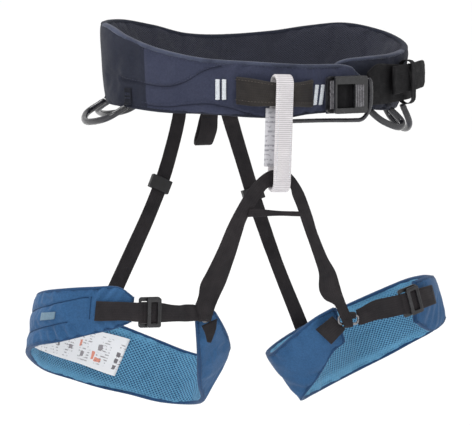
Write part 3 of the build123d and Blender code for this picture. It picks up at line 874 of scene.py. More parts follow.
belt_looks = [belt_cloth, belt_shaded_cloth, belt_lining]
belt_pad = pad("belt_pad", belt_line, BELT_EDGE, BELT_MIDDLE, 38, belt_looks,
               groove=belt_groove, cap=1.1, grow=0.03, pressure=4.0, shape=belt_shape, slots=belt_slot)
place(belt_pad, "waist", "belt_cloth", "belt_shell", "belt_foam", "belt_liner")

# the top tape takes its darker copy round the back of the belt: painted shade
top_tape = edge_tape("belt_top_tape", belt_line, 1, 4.0, 6.0, [belt_tape, belt_shaded_tape],
                     lambda i: 0 if turn_of(belt_line[i]) > -96 or turn_of(belt_line[i]) < -296 else 1)
place(top_tape, "waist", "edge_binding", "belt_binding_top")
# the lower edge tape in the belt cloth's darker copy: painted shade
bottom_tape = edge_tape("belt_bottom_tape", belt_line, -1, 3.0, 5.4, [belt_shaded_cloth])
place(bottom_tape, "waist", "edge_binding", "belt_binding_bottom")


def end_tape(name, station, wide, material):
    """The binding carried round an end of a padded band."""
    points = [station.point(s / 10 * 0.97) for s in range(-10, 11)]
    return rope(name, points, wide / 2, [material], 10)


place(end_tape("belt_front_end_tape", belt_line[-1], 5.6, belt_tape), "waist", "edge_binding")
# the tongue end's tape in the belt cloth's darker copy: painted shade
place(end_tape("belt_tongue_end_tape", belt_line[0], 5.6, belt_shaded_cloth), "waist", "edge_binding")

# the sunk seams of the front panel, each with a dark cord in its groove: painted shade
for name, seam in (("belt_wave_seam_shade", WAVE_SEAM), ("belt_lower_seam_shade", LOWER_SEAM)):
    spots = []
    for station in belt_line:
        turn = turn_of(station)
        if seam[0][0] <= turn <= seam[-1][0]:
            spots.append((station.point(between(seam, turn)[0]), station.out))
    place(seam_shade_cord(name, belt_pad, spots, belt_seam_shade), "waist", "belt_cloth")

# stitching along the wave seam and beside the panel seam and the upper edge
spots = []
for seam, offset in ((WAVE_SEAM, 0.07), (LOWER_SEAM, 0.09)):
    line = []
    for k in range(60):
        turn = seam[0][0] + (seam[-1][0] - seam[0][0]) * k / 59
        s = min(between(seam, turn)[0] + offset, 0.93)
        station = at_row(belt_line, turn - FIRST_TURN)
        line.append((station.point(s, BELT_FACE - 0.1), station.out))
    spots += stitch_line(line, 3.2)
place(stitches("belt_seam_stitches", spots, thread_blue, 2.2, 0.22), "waist", "edge_binding")
spots = []
for s in (0.86, -0.90):
    line = [(st.point(s, BELT_FACE - 0.9), st.out) for st in belt_line if -75 < turn_of(st) < 26]
    spots += stitch_line(line, 3.2)
place(stitches("belt_edge_stitches", spots, thread_blue, 2.2, 0.2), "waist", "edge_binding")

# ---------------- tie-in strip and bar tacks
tie_in_rows = upright([
    (-43.5, -89.2, 13, -11.5),
    (-39, -92.8, 12.5, -12),
    (-32, -98.6, 11.5, -13),
    (-20, -104.8, 9, -13),
    (-7, -105.6, 7.5, -13.5),
    (7, -104.4, 7.5, -14),
    (20, -98.2, 8.5, -15),
    (27, -94.6, 9.5, -15.5),
])


def strip_shape(station, s):
    fold = 0.55 * (bump_at(s, 0.80, 0.07) + bump_at(s, -0.66, 0.07))
    return fold + 0.25 * noise.noise(Vector((station.at * 0.12, s * 2, 1.0)))


web("tie_in_strip_web", tie_in_rows, 2.8, "waist", ["tie_in_strip"], tie_in_webbing, "tie_in_webbing",
    across=26, step=2.0, shape=strip_shape)
strip_line = stations(tie_in_rows, 2.0)
spots = []
for s in (0.80, -0.66):
    spots += stitch_line([(st.point(s, 2.05), st.out) for st in strip_line], 3.0)
thread_brown = woven("thread_brown", (92, 84, 78), (62, 57, 54), 0.9, 0.1)
place(stitches("tie_in_strip_stitches", spots, thread_brown, 2.1, 0.22), "waist", "tie_in_webbing")

# two dense white bar tacks at each end
TACKS = ((-29.2, 1.5), (-26.8, 1.5), (7.2, -4.5), (9.6, -4.5))
TACK_WIDE, TACK_HIGH = 4.2, 18.0
spots = []
for turn, z in TACKS:
    station = at_row(belt_line, turn - FIRST_TURN)
    middle = Vector(belt_point(turn, z, between(BELT_ROWS, turn)[2] + BELT_FACE + 0.45))
    along = station.out.cross(Vector((0, 0, 1))).normalized()
    rise = Vector((0, 0, 1))
    lean = along * (-0.13 if turn > 0 else 0.0)
    rise = (rise + lean).normalized()
    for k in range(26):
        level = -TACK_HIGH / 2 + TACK_HIGH * (k + 0.5) / 26
        tilt = rise * (0.35 if k % 2 else -0.35)
        spots.append((middle + rise * level, along * TACK_WIDE + tilt, station.out))
    for side in (-1, 1):
        for k in range(9):
            level = -TACK_HIGH / 2 + TACK_HIGH * (k + 0.5) / 9
            place_at = middle + rise * level + along * (side * TACK_WIDE * 0.32)
            spots.append((place_at, rise * 2.0, station.out))
# each thread is raised clear of the cloth under its middle and its ends
under = []
for middle, along, out in spots:
    half = along.normalized() * TACK_WIDE / 2
    under += [(middle, out), (middle + half, out), (middle - half, out)]
landed = land(belt_pad, under, 0.3)
for k, (middle, along, out) in enumerate(spots):
    lift = max((p - middle).dot(out) for p in landed[3 * k:3 * k + 3])
    spots[k] = (middle + out * max(lift, 0.0), along, out)
long_spots = [spot for spot in spots if spot[1].length > 3]
short_spots = [spot for spot in spots if spot[1].length <= 3]
tacks = join("white_bar_tacks", [
    stitches("tacks_across", long_spots, thread_white, TACK_WIDE, 0.46),
    stitches("tacks_along", short_spots, thread_white, 2.4, 0.62),
])
place(tacks, "waist", "white_thread", "front_bartacks")

# ---------------- waist webbing
waist_strap_rows = [
    (84.5, -88.4, 15, 84.5, -88.4, -15),
    (96, -83, 21.5, 96, -83, -15.5),
    (113, -71.5, 21, 113, -71.5, -15),
    (130, -60, 20, 130, -60, -14),
    (145, -49, 18.5, 145, -49, -13),
    (159, -34, 18, 157, -33, -12),
    (166, -17, 18, 163, -16, -11),
    (168.5, 0, 18, 164.5, 0, -10),
]
waist_tail_rows = upright([
    (116, -76, 19, -7),
    (133, -65, 20, -6),
    (148, -54.5, 21.5, -4.5),
    (158, -45.5, 22.5, -3.5),
    (166.5, -37, 23, -2.5),
])


def gentle(seed, size=0.3):
    """A slight unevenness for webbing."""
    def shape(station, s):
        return size * noise.noise(Vector((station.at * 0.07, s * 1.2, seed)))
    return shape


web("waist_strap_web", waist_strap_rows, 2.0, "waist", ["waist_strap"], hip_webbing, across=14,
    shape=gentle(1.7, 0.4))
tail = stations(waist_tail_rows, 2.5)
for station in tail:
    # rounded end corners
    left = tail[-1].at - station.at
    if left < 5:
        station.half *= 0.72 + 0.28 * (1 - (1 - left / 5)**2)**0.5
web("waist_strap_tail_web", tail, 2.6, "waist", ["waist_strap_tail"], hip_webbing, across=12,
    shape=gentle(5.2, 0.4))


def sleeve(name, centre, out, up, half_thick, half_high, half_along, thick, material):
    """An elastic keeper: a flat band round other webbing."""
    along = up.cross(out).normalized()
    corner = half_thick * 0.9
    path = rounded(centre, out, up, half_thick, half_high, corner, 4)
    dense = []
    for i, p in enumerate(path):
        q = path[(i + 1) % len(path)]
        parts = max(1, round((q - p).length / 2))
        dense += [p.lerp(q, k / parts) for k in range(parts)]
    line = []
    at = 0.0
    for i, p in enumerate(dense):
        ahead = (dense[(i + 1) % len(dense)] - dense[i - 1]).normalized()
        normal = ahead.cross(along).normalized()
        if normal.dot(p - centre) < 0:
            normal = -normal
        line.append(Station(p, along, normal, half_along, at, i))
        at += (dense[(i + 1) % len(dense)] - p).length
    return ribbon(name, line, thick, [material], across=6, closed=True)


keeper_out = Vector((0.62, -0.78, 0)).normalized()
keeper_middle = Vector((139.8, -56.6, 3.5))
keeper = sleeve("strap_keeper_band", keeper_middle, keeper_out, UP, 6.8, 20.1, 4.5, 0.8, hip_webbing)
place(keeper, "waist", "black_webbing", "strap_keeper")

# ---------------- waist buckle
BUCKLE_TURN = radians(11.7)
buckle_x = Vector((cos(BUCKLE_TURN), sin(BUCKLE_TURN), 0))
buckle_out = Vector((sin(BUCKLE_TURN), -cos(BUCKLE_TURN), 0))
buckle_origin = Vector((64.5, -91.6, -5))


def on_buckle(x, y, out):
    return buckle_origin + buckle_x * x + Vector((0, 0, y)) + buckle_out * out


def ridges(name, x_places, low, high, out, material, place_point, radius=0.55):
    """Upright grip ribs on a buckle's bar."""
    parts = []
    for k, x in enumerate(x_places):
        points = [place_point(x, low + (high - low) * i / 8, out) for i in range(9)]
        parts.append(rope(f"{name}_{k}", points, radius, [material], 8))
    return join(name, parts)


hard_piece("waist_buckle_frame", 0.8, buckle_metal)
hard_piece("waist_buckle_slider", 0.9, buckle_dark)
# the frame's ribs in pale grey: painted highlight
frame_ribs = ridges("waist_buckle_frame_ribs", (-23.6, -22.1, -20.6, -19.1), -12.2, 13.2, 4.45, rib_highlight_metal,
                    on_buckle, 0.5)
place(frame_ribs, "waist", "buckle_metal")
slider_ribs = ridges("waist_buckle_slider_ribs", (0.6, 2.5, 4.4, 6.3, 8.2), -10.5, 9.5, 10.8, rib_highlight_metal,
                     on_buckle, 0.6)
place(slider_ribs, "waist_buckle", "buckle_metal")
wrap_rows = []
WRAP_COURSE = ((-16.6, 4.0), (-14, 5.2), (-8, 5.9), (-3.5, 4.9), (2, 5.9), (9, 5.7), (14, 4.9), (16.5, 4.2))
for x, out in WRAP_COURSE:
    wrap_rows.append([*on_buckle(x, 13.0, out), *on_buckle(x, -12.0, out)])
web("waist_buckle_web", wrap_rows, 1.7, "waist", ["buckle_webbing"], hip_webbing, across=12, step=1.5,
    shape=gentle(3.3, 0.2))
backing_rows = []
for x in (-23.2, -18, -8, 2, 12, 16.2):
    backing_rows.append([*on_buckle(x, 16.6, -2.3), *on_buckle(x, -16.6, -2.3)])
# the pad behind the buckle in the belt cloth's darker copy: painted shade
web("buckle_backing_pad", backing_rows, 3.2, "waist", ["buckle_backing"], belt_shaded_cloth, "belt_cloth",
    across=12, shape=gentle(6.3, 0.2))
EDGE_ROUTE = [
    (4, -92.5, -27.5),
    (39, -93, -27.5),
    (68, -93.2, -28),
    (76.5, -93.2, -27.4),
    (81.5, -93, -23),
    (84.4, -92.8, -16),
    (85.2, -92.7, -5),
    (84.8, -92.6, 5),
    (83.4, -92.6, 9.5),
]


def edge_cord_radius(share):
    """Round below the panel and flattened out into a wider band beside the buckle."""
    return 1.9 + 0.8 * min(max((share - 0.72) / 0.08, 0.0), 1.0) - 0.8 * max(share - 0.97, 0.0) / 0.03


place(rope("buckle_edge_cord", smooth(EDGE_ROUTE, 10), edge_cord_radius, [tube_plastic], 12),
      "waist", "tube_plastic", "buckle_edge_tube")

# ---------------- gear loops
# turns of the two ends, then how far the middle hangs out, along and down
GEAR_LOOPS = {
    "gear_loop_front_right": (-70, -114, 28, 0, 16),
    "gear_loop_rear_right": (-121, -146, 24, 8, 12),
    "gear_loop_front_left": (-326, -309, 17, 4, 18),
    "gear_loop_rear_left": (-283, -254, 12, -4, 27),
}
GEAR_TUBE_R = 3.1


def gear_end(turn):
    """Where a tube's end meets the belt: just outside its face, at its lower edge."""
    top, bottom, off = between(BELT_ROWS, turn)
    return Vector(belt_point(turn, bottom + 1, off + BELT_FACE + GEAR_TUBE_R + 0.5, hip_draw(turn)))


def tube_radius(share):
    """A collar at each end of the tube and a slight taper towards it."""
    end = min(share, 1 - share)
    return GEAR_TUBE_R * (0.88 + 0.10 * min(end / 0.12, 1)) + 0.28 * bump_at(end, 0.035, 0.014)


for name, (first_turn, last_turn, outward, along, down) in GEAR_LOOPS.items():
    a, b = gear_end(first_turn), gear_end(last_turn)
    chord = (b - a).normalized()
    away = Vector(((a + b).x / 2 - BELT_CENTRE_X, (a + b).y / 2, 0)).normalized()
    sag = away * outward + Vector((0, 0, -down)) + chord * along
    inward = (b - a) * 0.07
    route = [a, a + sag * 0.66 + inward, (a + b) * 0.5 + sag * 0.97, b + sag * 0.66 - inward, b]
    obj = rope(name + "_tube", smooth([tuple(p) for p in route], 12), tube_radius, [tube_plastic], 16)
    place(obj, name, "tube_plastic", name)

tabs, spots = [], []
for loop in GEAR_LOOPS.values():
    for turn in loop[:2]:
        top, bottom, off = between(BELT_ROWS, turn)
        rows = []
        for rise, lift in ((3.4, 2.4), (6.0, 1.2), (11.0, 0.9), (17.5, 0.8)):
            share = rise / (top - bottom)
            draw = hip_draw(turn) * (1 - share)
            low = Vector(belt_point(turn, bottom + rise, off + BELT_FACE + lift, draw))
            sideways = Vector((cos(radians(turn)), sin(radians(turn)) * 0.7, 0)).normalized() * 4.2
            rows.append([*(low + sideways), *(low - sideways)])
        tabs.append(ribbon(f"tab_{turn}", rows, 1.3, [tab_webbing], across=6, step=1.5))
        line = stations(rows, 1.5)
        for height in (0.45, 0.62, 0.79):
            station = line[int(height * (len(line) - 1))]
            outward = 1 if station.out.dot(Vector((sin(radians(turn)), -cos(radians(turn)), 0))) > 0 else -1
            for part in (-0.5, 0, 0.5):
                spots.append((station.point(part, outward * 0.95), station.across, station.out * outward))
place(join("gear_loop_web_tabs", tabs), "waist", "black_webbing", "gear_loop_tabs")
place(stitches("gear_loop_tab_stitches", spots, thread_blue, 2.3, 0.34), "waist", "edge_binding")

# ---------------- haul loop and back tabs
haul_rows = same_depth([
    (91.7, -6.1, -30, 10.7, -30),
    (90.4, -7.6, -36, 9.6, -36),
    (88.6, -9.4, -46, 8.4, -46),
    (88.8, -11.8, -54, 6.0, -54),
    (90.4, -13.2, -59, 4.6, -59),
    (93, -13.6, -60.7, 4.2, -60.7),
    (95.6, -13.2, -59, 4.6, -59),
    (97.2, -11.8, -54, 6.0, -54),
    (97.4, -9.4, -46, 8.4, -46),
    (95.6, -7.6, -36, 9.6, -36),
    (94.3, -6.1, -30, 10.7, -30),
])
web("haul_loop_web", haul_rows, 2.2, "haul", ["haul_loop"], step=2.0)
spots = []
for z, left in ((-35.0, -4.6), (-39.0, -5.4), (-43.0, -6.2)):
    for k in range(3):
        spots.append((Vector((left + 2.6 * k, 92.6 + z * 0.09 - 0.2, z)), Vector((1, 0, 0)), FORWARD))
place(stitches("haul_loop_stitches", spots, tab_webbing, 2.4, 0.4), "haul", "black_webbing")

tab_parts = []
for x, wide, y in ((-30, 15, 87.6), (-3, 24, 92.6), (21, 15, 92.4)):
    rows = [
        (x - wide / 2, y, -23.6, x + wide / 2, y, -23.6),
        (x - wide / 2, y + 0.2, -25.4, x + wide / 2, y + 0.2, -25.4),
        (x - wide / 2, y, -27.4, x + wide / 2, y, -27.4),
    ]
    tab_parts.append(ribbon(f"back_tab_{x}", rows, 2.6, [black_webbing], across=8, step=0.9))
place(join("back_web_tabs", tab_parts), "waist", "black_webbing", "back_tabs")

# ---------------- belay loop
BELAY_TOP, BELAY_BOTTOM = 15.0, -89.5
BELAY_DEPTH, BELAY_THICK, BELAY_WIDTH = 17.1, 2.8, 16.8
belay_middle = Vector((-6.8, -110.9 + BELAY_DEPTH / 2, (BELAY_TOP + BELAY_BOTTOM) / 2))
belay_across = Vector((1, 0, -0.032)).normalized()
belay_long = Vector((0.032, 0, 1)).normalized()
belay_back = Vector((0, 1, 0))
belay_round = (BELAY_DEPTH - BELAY_THICK) / 2
belay_half = (BELAY_TOP - BELAY_BOTTOM) / 2 - BELAY_DEPTH / 2
belay_run = 4 * belay_half + tau * belay_round
RIB_PITCH = 1.75
belay_count = round(belay_run / RIB_PITCH) * 4
belay_line = []
for k in range(belay_count):
    at = belay_run * k / belay_count
    if at < 2 * belay_half:
        y, z, ny, nz = -belay_round, -belay_half + at, -1.0, 0.0
    elif at < 2 * belay_half + pi * belay_round:
        a = (at - 2 * belay_half) / belay_round
        y, z, ny, nz = -belay_round * cos(a), belay_half + belay_round * sin(a), -cos(a), sin(a)
    elif at < 4 * belay_half + pi * belay_round:
        y, z, ny, nz = belay_round, belay_half - (at - 2 * belay_half - pi * belay_round), 1.0, 0.0
    else:
        a = (at - 4 * belay_half - pi * belay_round) / belay_round
        y, z, ny, nz = belay_round * cos(a), -belay_half - belay_round * sin(a), cos(a), -sin(a)
    belay_line.append(Station(belay_middle + belay_back * y + belay_long * z, belay_across,
                              belay_back * ny + belay_long * nz, BELAY_WIDTH / 2, at, k))


def belay_shape(station, s):
    rib = 0.16 * sin(tau * station.row / 4)
    edge = -0.35 * max(abs(s) - 0.86, 0) / 0.14
    return rib * (0.4 if abs(s) > 0.92 else 1.0) + edge


web("belay_loop_web", belay_line, 2.6, "belay", ["belay_loop"], belay_webbing, "belay_webbing", across=16,
    shape=belay_shape, closed=True)
spots = []
for s in (-0.72, 0.72):
    line = [(st.point(s, 1.5), st.out) for st in belay_line if 6 < st.at < 2 * belay_half - 2]
    spots += stitch_line(line, 3.5)
place(stitches("belay_loop_stitches", spots, thread_white, 2.3, 0.25), "belay", "white_thread")

# label folded round the rear strand's edge
label_rows = []
for x, y in ((6.5, -1.75), (0, -1.8), (-6, -1.8), (-9.3, -1.6), (-11.2, -0.8), (-11.8, 0.0), (-11.2, 0.8),
             (-9.3, 1.6), (-6, 1.8), (0, 1.8), (6.5, 1.75)):
    centre = belay_middle + belay_back * (belay_round + y) + belay_across * x + belay_long * -4
    label_rows.append([*(centre + belay_long * 26), *(centre - belay_long * 26)])
web("belay_label_film", label_rows, 0.3, "belay", ["belay_label"], belay_print, "label", across=10,
    step=1.2)

# ---------------- leg bridge
bridge_rows = same_depth([
    (-84.8, -75.2, -201.6, -65.8, -203.0),
    (-84.8, -78.2, -197.7, -65.2, -200.6),
    (-84.8, -80.2, -192.7, -63.6, -196.0),
    (-84.8, -80.6, -187.9, -61.7, -190.4),
    (-84.5, -78.0, -181.0, -57.5, -182.0),
    (-84.2, -76.0, -170.5, -52.0, -171.5),
    (-86, -70.5, -159.5, -48.5, -160.5),
    (-91, -62.5, -140, -44.5, -143),
    (-95, -56.5, -123, -40.5, -125.5),
    (-98, -51.5, -110.5, -38.5, -115.5),
    (-101, -47, -100.5, -35, -106.5),
    (-102.6, -39, -87.5, -27, -95),
    (-102.8, -28, -76, -20.8, -86.2),
    (-102.8, -17, -70, -14.5, -84.6),
    (-102.8, -4.5, -70, -6.5, -84.6),
    (-102.8, 4.8, -74.9, 1.9, -85.6),
    (-102.6, 14.4, -88.5, 4.6, -93.5),
    (-101, 21, -102, 10, -104.5),
    (-98, 26.5, -113.5, 15, -115.5),
    (-95, 32, -127, 21, -128.5),
    (-91, 43.5, -150, 31, -151),
    (-87, 54, -165, 37.5, -166),
    (-85, 59.5, -178.5, 38.5, -178),
    (-84.8, 61.8, -185.8, 40.0, -184.7),
    (-84.6, 64.4, -192.4, 45.1, -191.4),
    (-84.6, 66.8, -198.1, 53.6, -196.0),
    (-84.8, 69.4, -204.1, 57.8, -203.5),
    (-84.8, 72.2, -210.3, 61.4, -211.2),
    (-84.8, 72.9, -215.2, 63.9, -215.6),
])


def bridge_shape(station, s):
    """Webbing gathered where it narrows, with edges that curl."""
    narrow = max(0.0, 1 - station.half / 9.0)
    curl = 1.6 * narrow * s * s - 0.5 * narrow
    return curl + 0.35 * noise.noise(Vector((station.at * 0.08, s * 1.4, 4.4)))


web("bridge_web", bridge_rows, 1.8, "bridge", ["bridge_strap"], across=14, step=2.2, shape=bridge_shape)
cross_rows = [
    (-36.5, -102.6, -103, -38.5, -101.8, -110.5),
    (-25, -102.8, -104, -25, -102.8, -110.5),
    (-9, -102.8, -106, -9, -102.8, -110.5),
    (6, -102.8, -107, 6, -102.8, -111.5),
    (14, -102.6, -107.5, 14, -102.2, -112),
]
web("bridge_cross_web", cross_rows, 1.4, "bridge", ["bridge_crosspiece"], lift=0.9, shape=gentle(7.7, 0.2))


RING_HALF_LONG, RING_HALF_SHORT, RING_WIRE_R = 9.8, 3.9, 1.15


def wire_ring(name, centre, along):
    """Rectangular wire ring, facing the front."""
    along = Vector(along).normalized()
    across = along.cross(FORWARD).normalized()
    points = rounded(Vector(centre), along, across, RING_HALF_LONG, RING_HALF_SHORT, 3.2, 6)
    obj = rope(name + "_wire", points, RING_WIRE_R, [ring_steel], 12, closed=True)
    place(obj, "bridge", "ring_steel", name)


RING_RIGHT, RING_RIGHT_LINE = (-72.5, -82, -195.5), (7.5, 0, -17)
RING_LEFT, RING_LEFT_LINE = (70.1, -81, -211.2), (1, 0, -0.04)
wire_ring("ring_right", RING_RIGHT, RING_RIGHT_LINE)
wire_ring("ring_left", RING_LEFT, RING_LEFT_LINE)


def bar_wrap(name, centre, along, shift, half_wide, body, radius=2.45):
    """Webbing turned round one long bar of a ring."""
    along = Vector(along).normalized()
    across = along.cross(FORWARD).normalized()
    middle = Vector(centre) + across * shift
    line = []
    for k in range(20):
        a = tau * k / 20
        normal = across * cos(a) + FORWARD * sin(a)
        line.append(Station(middle + normal * radius, along, normal, half_wide, radius * a, k))
    web(name, line, 1.5, body, closed=True)


bar_wrap("bridge_wrap_right", RING_RIGHT, RING_RIGHT_LINE, -RING_HALF_SHORT, 7.0, "bridge")
bar_wrap("leg_wrap_right", RING_RIGHT, RING_RIGHT_LINE, RING_HALF_SHORT, 7.0, "leg_right", 3.0)
bar_wrap("bridge_wrap_left", RING_LEFT, RING_LEFT_LINE, -RING_HALF_SHORT, 6.5, "bridge")


# the ends of the bridge's webbing, turned back under themselves through the rings
web("bridge_fold_right", same_depth([
    (-84.8, -78.2, -196.5, -65.2, -199.6),
    (-85.0, -75.2, -201.4, -65.8, -202.8),
    (-83.6, -74.4, -203.4, -65.4, -204.6),
    (-81.4, -74.6, -203.0, -65.4, -204.2),
]), 1.7, "bridge", step=1.2)
web("bridge_fold_left", same_depth([
    (-84.8, 61.6, -210.0, 72.0, -209.4),
    (-85.0, 63.8, -215.4, 73.0, -215.0),
    (-83.6, 64.2, -217.6, 73.2, -217.2),
    (-81.2, 64.4, -217.8, 73.0, -217.4),
]), 1.7, "bridge", step=1.2)

# ---------------- leg loops
RIGHT_LEG_ROWS = [
    (-58, -73, -198, -76, -73, -206),
    (-48, -65, -211, -70, -63, -240),
    (-35, -46, -227, -62, -44, -268),
    (-26, -24, -242, -50, -21, -287),
    (-26, 12, -254, -49.5, 10, -296.5),
    (-40, 38, -253, -72, 34, -297),
    (-66, 54, -242, -96, 50, -291),
    (-98, 60, -228, -123, 57, -284),
    (-131, 56, -214, -153, 54, -273),
    (-165, 38, -201, -182, 38, -261),
    (-192, 10, -190, -204, 12, -245),
    (-205, -18, -182, -215, -16, -232),
    (-207, -46, -175, -215, -44, -223),
    (-197, -70, -170.5, -202, -68, -217),
    (-177, -84, -168.5, -181, -83, -210),
    (-156, -91, -168.5, -161, -91, -205),
    (-143, -92, -177, -146, -92, -200),
]
LEFT_LEG_ROWS = [
    (62, -66, -202, 72, -66, -235),
    (44, -62, -212, 64, -60, -244),
    (27, -48, -230, 58, -44, -267),
    (17.5, -26, -247.5, 50, -22, -293),
    (28, 8, -250, 74, 6, -295),
    (60, 36, -242, 107, 32, -291),
    (99, 54, -231, 143, 50, -283),
    (136, 60, -219, 176, 56, -272),
    (164, 50, -206, 198, 48, -259),
    (180, 28, -194, 210, 30, -247),
    (185, 2, -187, 209, 6, -236),
    (182, -22, -184, 199, -20, -226),
    (173, -44, -181, 184, -42, -228),
    (158, -62, -179, 164, -59, -230),
    (140, -73, -181, 143, -71, -219),
]
LEG_EDGE, LEG_MIDDLE = 2.6, 5.8
LEG_FACE = 3.3
right_line = stations(RIGHT_LEG_ROWS, 2.4)
left_line = stations(LEFT_LEG_ROWS, 3.0, side=-1)
# seams of the right pad's outer face: row number, then place across
RIGHT_UPPER = [(8.0, 0.40), (12.1, 0.40), (12.9, 0.50), (13.9, 0.60)]
RIGHT_LOWER = [(8.0, -0.42), (11.9, -0.40), (12.6, -0.35), (13.1, -0.30), (14.0, -0.32)]


def right_groove(station, s):
    deep = 0.0
    shallow = min(max((station.row - 10.4) / 1.2, 0.0), 1.0)
    if 8.0 < station.row < 13.95:
        deep = max(deep, shallow * bump_at(s, between(RIGHT_UPPER, station.row)[0], 0.055))
    if 8.0 < station.row < 13.3:
        deep = max(deep, shallow * bump_at(s, between(RIGHT_LOWER, station.row)[0], 0.055))
    if -0.34 < s < 0.62:
        deep = max(deep, 0.9 * bump_at(station.row, 14.05, 0.07))
    return deep


def right_shape(station, s, face):
    row = station.row
    push = 0.0
    if face > 0:
        # the raised middle panel and the creases under it
        if -0.40 < s < 0.60:
            push += 1.3 * bump_at(row, 13.1, 0.8)
        crease = sin(17 * row + 8 * s)
        push += 3.0 * crease * bump_at(row, 13.15, 0.55) * bump_at(s, -0.64, 0.24)
        push += 1.8 * sin(14 * row - 6 * s) * bump_at(row, 14.5, 0.5) * bump_at(s, 0.72, 0.3)
        push += 1.5 * sin(13 * row + 5 * s) * bump_at(row, 14.9, 0.6) * bump_at(s, -0.8, 0.3)
    push += 0.6 * noise.noise(Vector((row * 1.1, s * 1.7, face * 2.0)))
    return push


def left_shape(station, s, face):
    row = station.row
    push = 0.6 * noise.noise(Vector((row * 1.2, s * 1.5, face * 5.0 + 2.0)))
    push += 1.2 * sin(14 * row + 8 * s) * bump_at(row, 11.6, 1.1) * bump_at(s, -0.5, 0.5)
    push += 0.3 * sin(11 * row - 9 * s) * bump_at(row, 3.2, 0.8)
    return push


def leg_slots(i, j, across):
    return 1 if j > across else 0


right_pad = pad("leg_right_pad", right_line, LEG_EDGE, LEG_MIDDLE, 38, [leg_cloth, leg_lining],
                groove=right_groove, cap=1.2, grow=0.03, shape=right_shape, slots=leg_slots)
place(right_pad, "leg_right", "leg_cloth", "leg_right_shell", "leg_right_foam", "leg_right_mesh")
left_pad = pad("leg_left_pad", left_line, LEG_EDGE, LEG_MIDDLE, 30, [leg_cloth, leg_lining],
               cap=1.2, grow=0.03, shape=left_shape, slots=leg_slots)
place(left_pad, "leg_left", "leg_cloth", "leg_left_shell", "leg_left_foam", "leg_left_mesh")

# the sunk seams of the right pad: above and below its middle panel, and across the panel's end, each with a
# dark cord in its groove: painted shade
for name, seam, first, last in (("upper", RIGHT_UPPER, 10.9, 13.95), ("lower", RIGHT_LOWER, 10.9, 13.3)):
    spots = [(st.point(between(seam, st.row)[0]), st.out) for st in right_line if first < st.row < last]
    place(seam_shade_cord(f"leg_right_{name}_seam", right_pad, spots, leg_seam_shade), "leg_right", "leg_cloth")
panel_end = at_row(right_line, 14.05)
spots = [(panel_end.point(-0.34 + 0.08 * k), panel_end.out) for k in range(13)]
place(seam_shade_cord("leg_right_panel_end_seam_shade", right_pad, spots, leg_seam_shade), "leg_right", "leg_cloth")

for prefix, line in (("leg_right", right_line), ("leg_left", left_line)):
    place(edge_tape(f"{prefix}_top_tape", line, 1, 3.0, 4.6, [leg_tape]), prefix, "leg_binding",
          f"{prefix}_binding_top")
    place(edge_tape(f"{prefix}_bottom_tape", line, -1, 3.0, 4.6, [leg_tape]), prefix, "leg_binding",
          f"{prefix}_binding_bottom")
    place(end_tape(f"{prefix}_inner_end_tape", line[0], 4.2, leg_tape), prefix, "leg_binding")
    place(end_tape(f"{prefix}_outer_end_tape", line[-1], 4.2, leg_tape), prefix, "leg_binding")
    spots = []
    for s in (0.88, -0.88):
        for face in (1, -1):
            edge = [(st.point(s, face * (LEG_FACE - 1.15)), st.out * face) for st in line]
            spots += stitch_line(edge, 3.2)
    place(stitches(f"{prefix}_edge_stitches", spots, thread_leg, 2.0, 0.2), prefix, "leg_binding")

# ring tabs: webbing from the slot in each inner end up to its ring
right_tab_rows = [
    (-65.5, -83.5, -224, -69, -82, -223.5),
    (-61.3, -84, -212.5, -71.5, -83, -215),
    (-59.6, -83, -202.6, -74.4, -82.2, -208.6),
]
web("leg_right_ring_web", right_tab_rows, 1.8, "leg_right", ["leg_right_ring_tab"], step=1.8,
    shape=gentle(2.4, 0.3))
left_tab_rows = same_depth([
    (-70.5, 42, -220, 58, -235),
    (-75, 48, -214.0, 62.5, -228),
    (-78.4, 55, -207.5, 68.5, -220.5),
])
web("leg_left_ring_web", left_tab_rows, 1.8, "leg_left", ["leg_left_ring_tab"], side=-1, step=1.8,
    shape=gentle(9.4, 0.3))

# front straps
right_anchor_rows = same_depth([
    (-91.5, -176, -179.5, -178, -197),
    (-95.5, -166, -180, -168, -197),
    (-98, -155, -180.5, -156, -197),
    (-99.5, -143, -181.5, -143, -198.5),
    (-100.9, -136, -182, -136, -199),
])
web("leg_right_anchor_web", right_anchor_rows, 1.8, "leg_right", ["leg_right_anchor_strap"], across=10,
    shape=gentle(0.4, 0.25))
right_strap_rows = same_depth([
    (-100.6, -123.5, -182.8, -123.5, -199.8),
    (-98.7, -117.5, -183.5, -117.5, -200.5),
    (-97, -109, -185.5, -109, -200.8),
    (-94, -100, -187, -100, -201.5),
    (-88, -92, -187.5, -91, -203),
    (-83.6, -83.2, -188.6, -77.6, -203.6),
    (-82.6, -80.4, -189.4, -73.6, -204.6),
])
web("leg_right_front_web", right_strap_rows, 1.8, "leg_right", ["leg_right_front_strap"], across=10,
    step=1.8, shape=gentle(0.9, 0.25))
left_strap_rows = same_depth([
    (-81.0, 77.6, -202.6, 80.4, -217.0),
    (-81.6, 82.8, -200.4, 84.8, -216.4),
    (-83, 88, -197.2, 91, -214.4),
    (-84.5, 95, -194, 98, -212.5),
    (-85, 107, -192, 111, -211),
    (-85.6, 117, -190.5, 122.3, -209),
    (-86.6, 121.5, -189.4, 126.8, -207.8),
])
web("leg_left_front_web", left_strap_rows, 1.8, "leg_left", ["leg_left_front_strap"], strap_webbing,
    across=10, shape=gentle(1.9, 0.3))
left_anchor_rows = same_depth([
    (-85.6, 133.5, -187.0, 138.5, -205.6),
    (-83.4, 139, -186, 144, -205),
    (-80, 148, -185, 153, -203.5),
    (-73.5, 158, -184.5, 163, -202.5),
])
web("leg_left_anchor_web", left_anchor_rows, 1.8, "leg_left", ["leg_left_anchor_strap"], across=10,
    shape=gentle(2.9, 0.3))


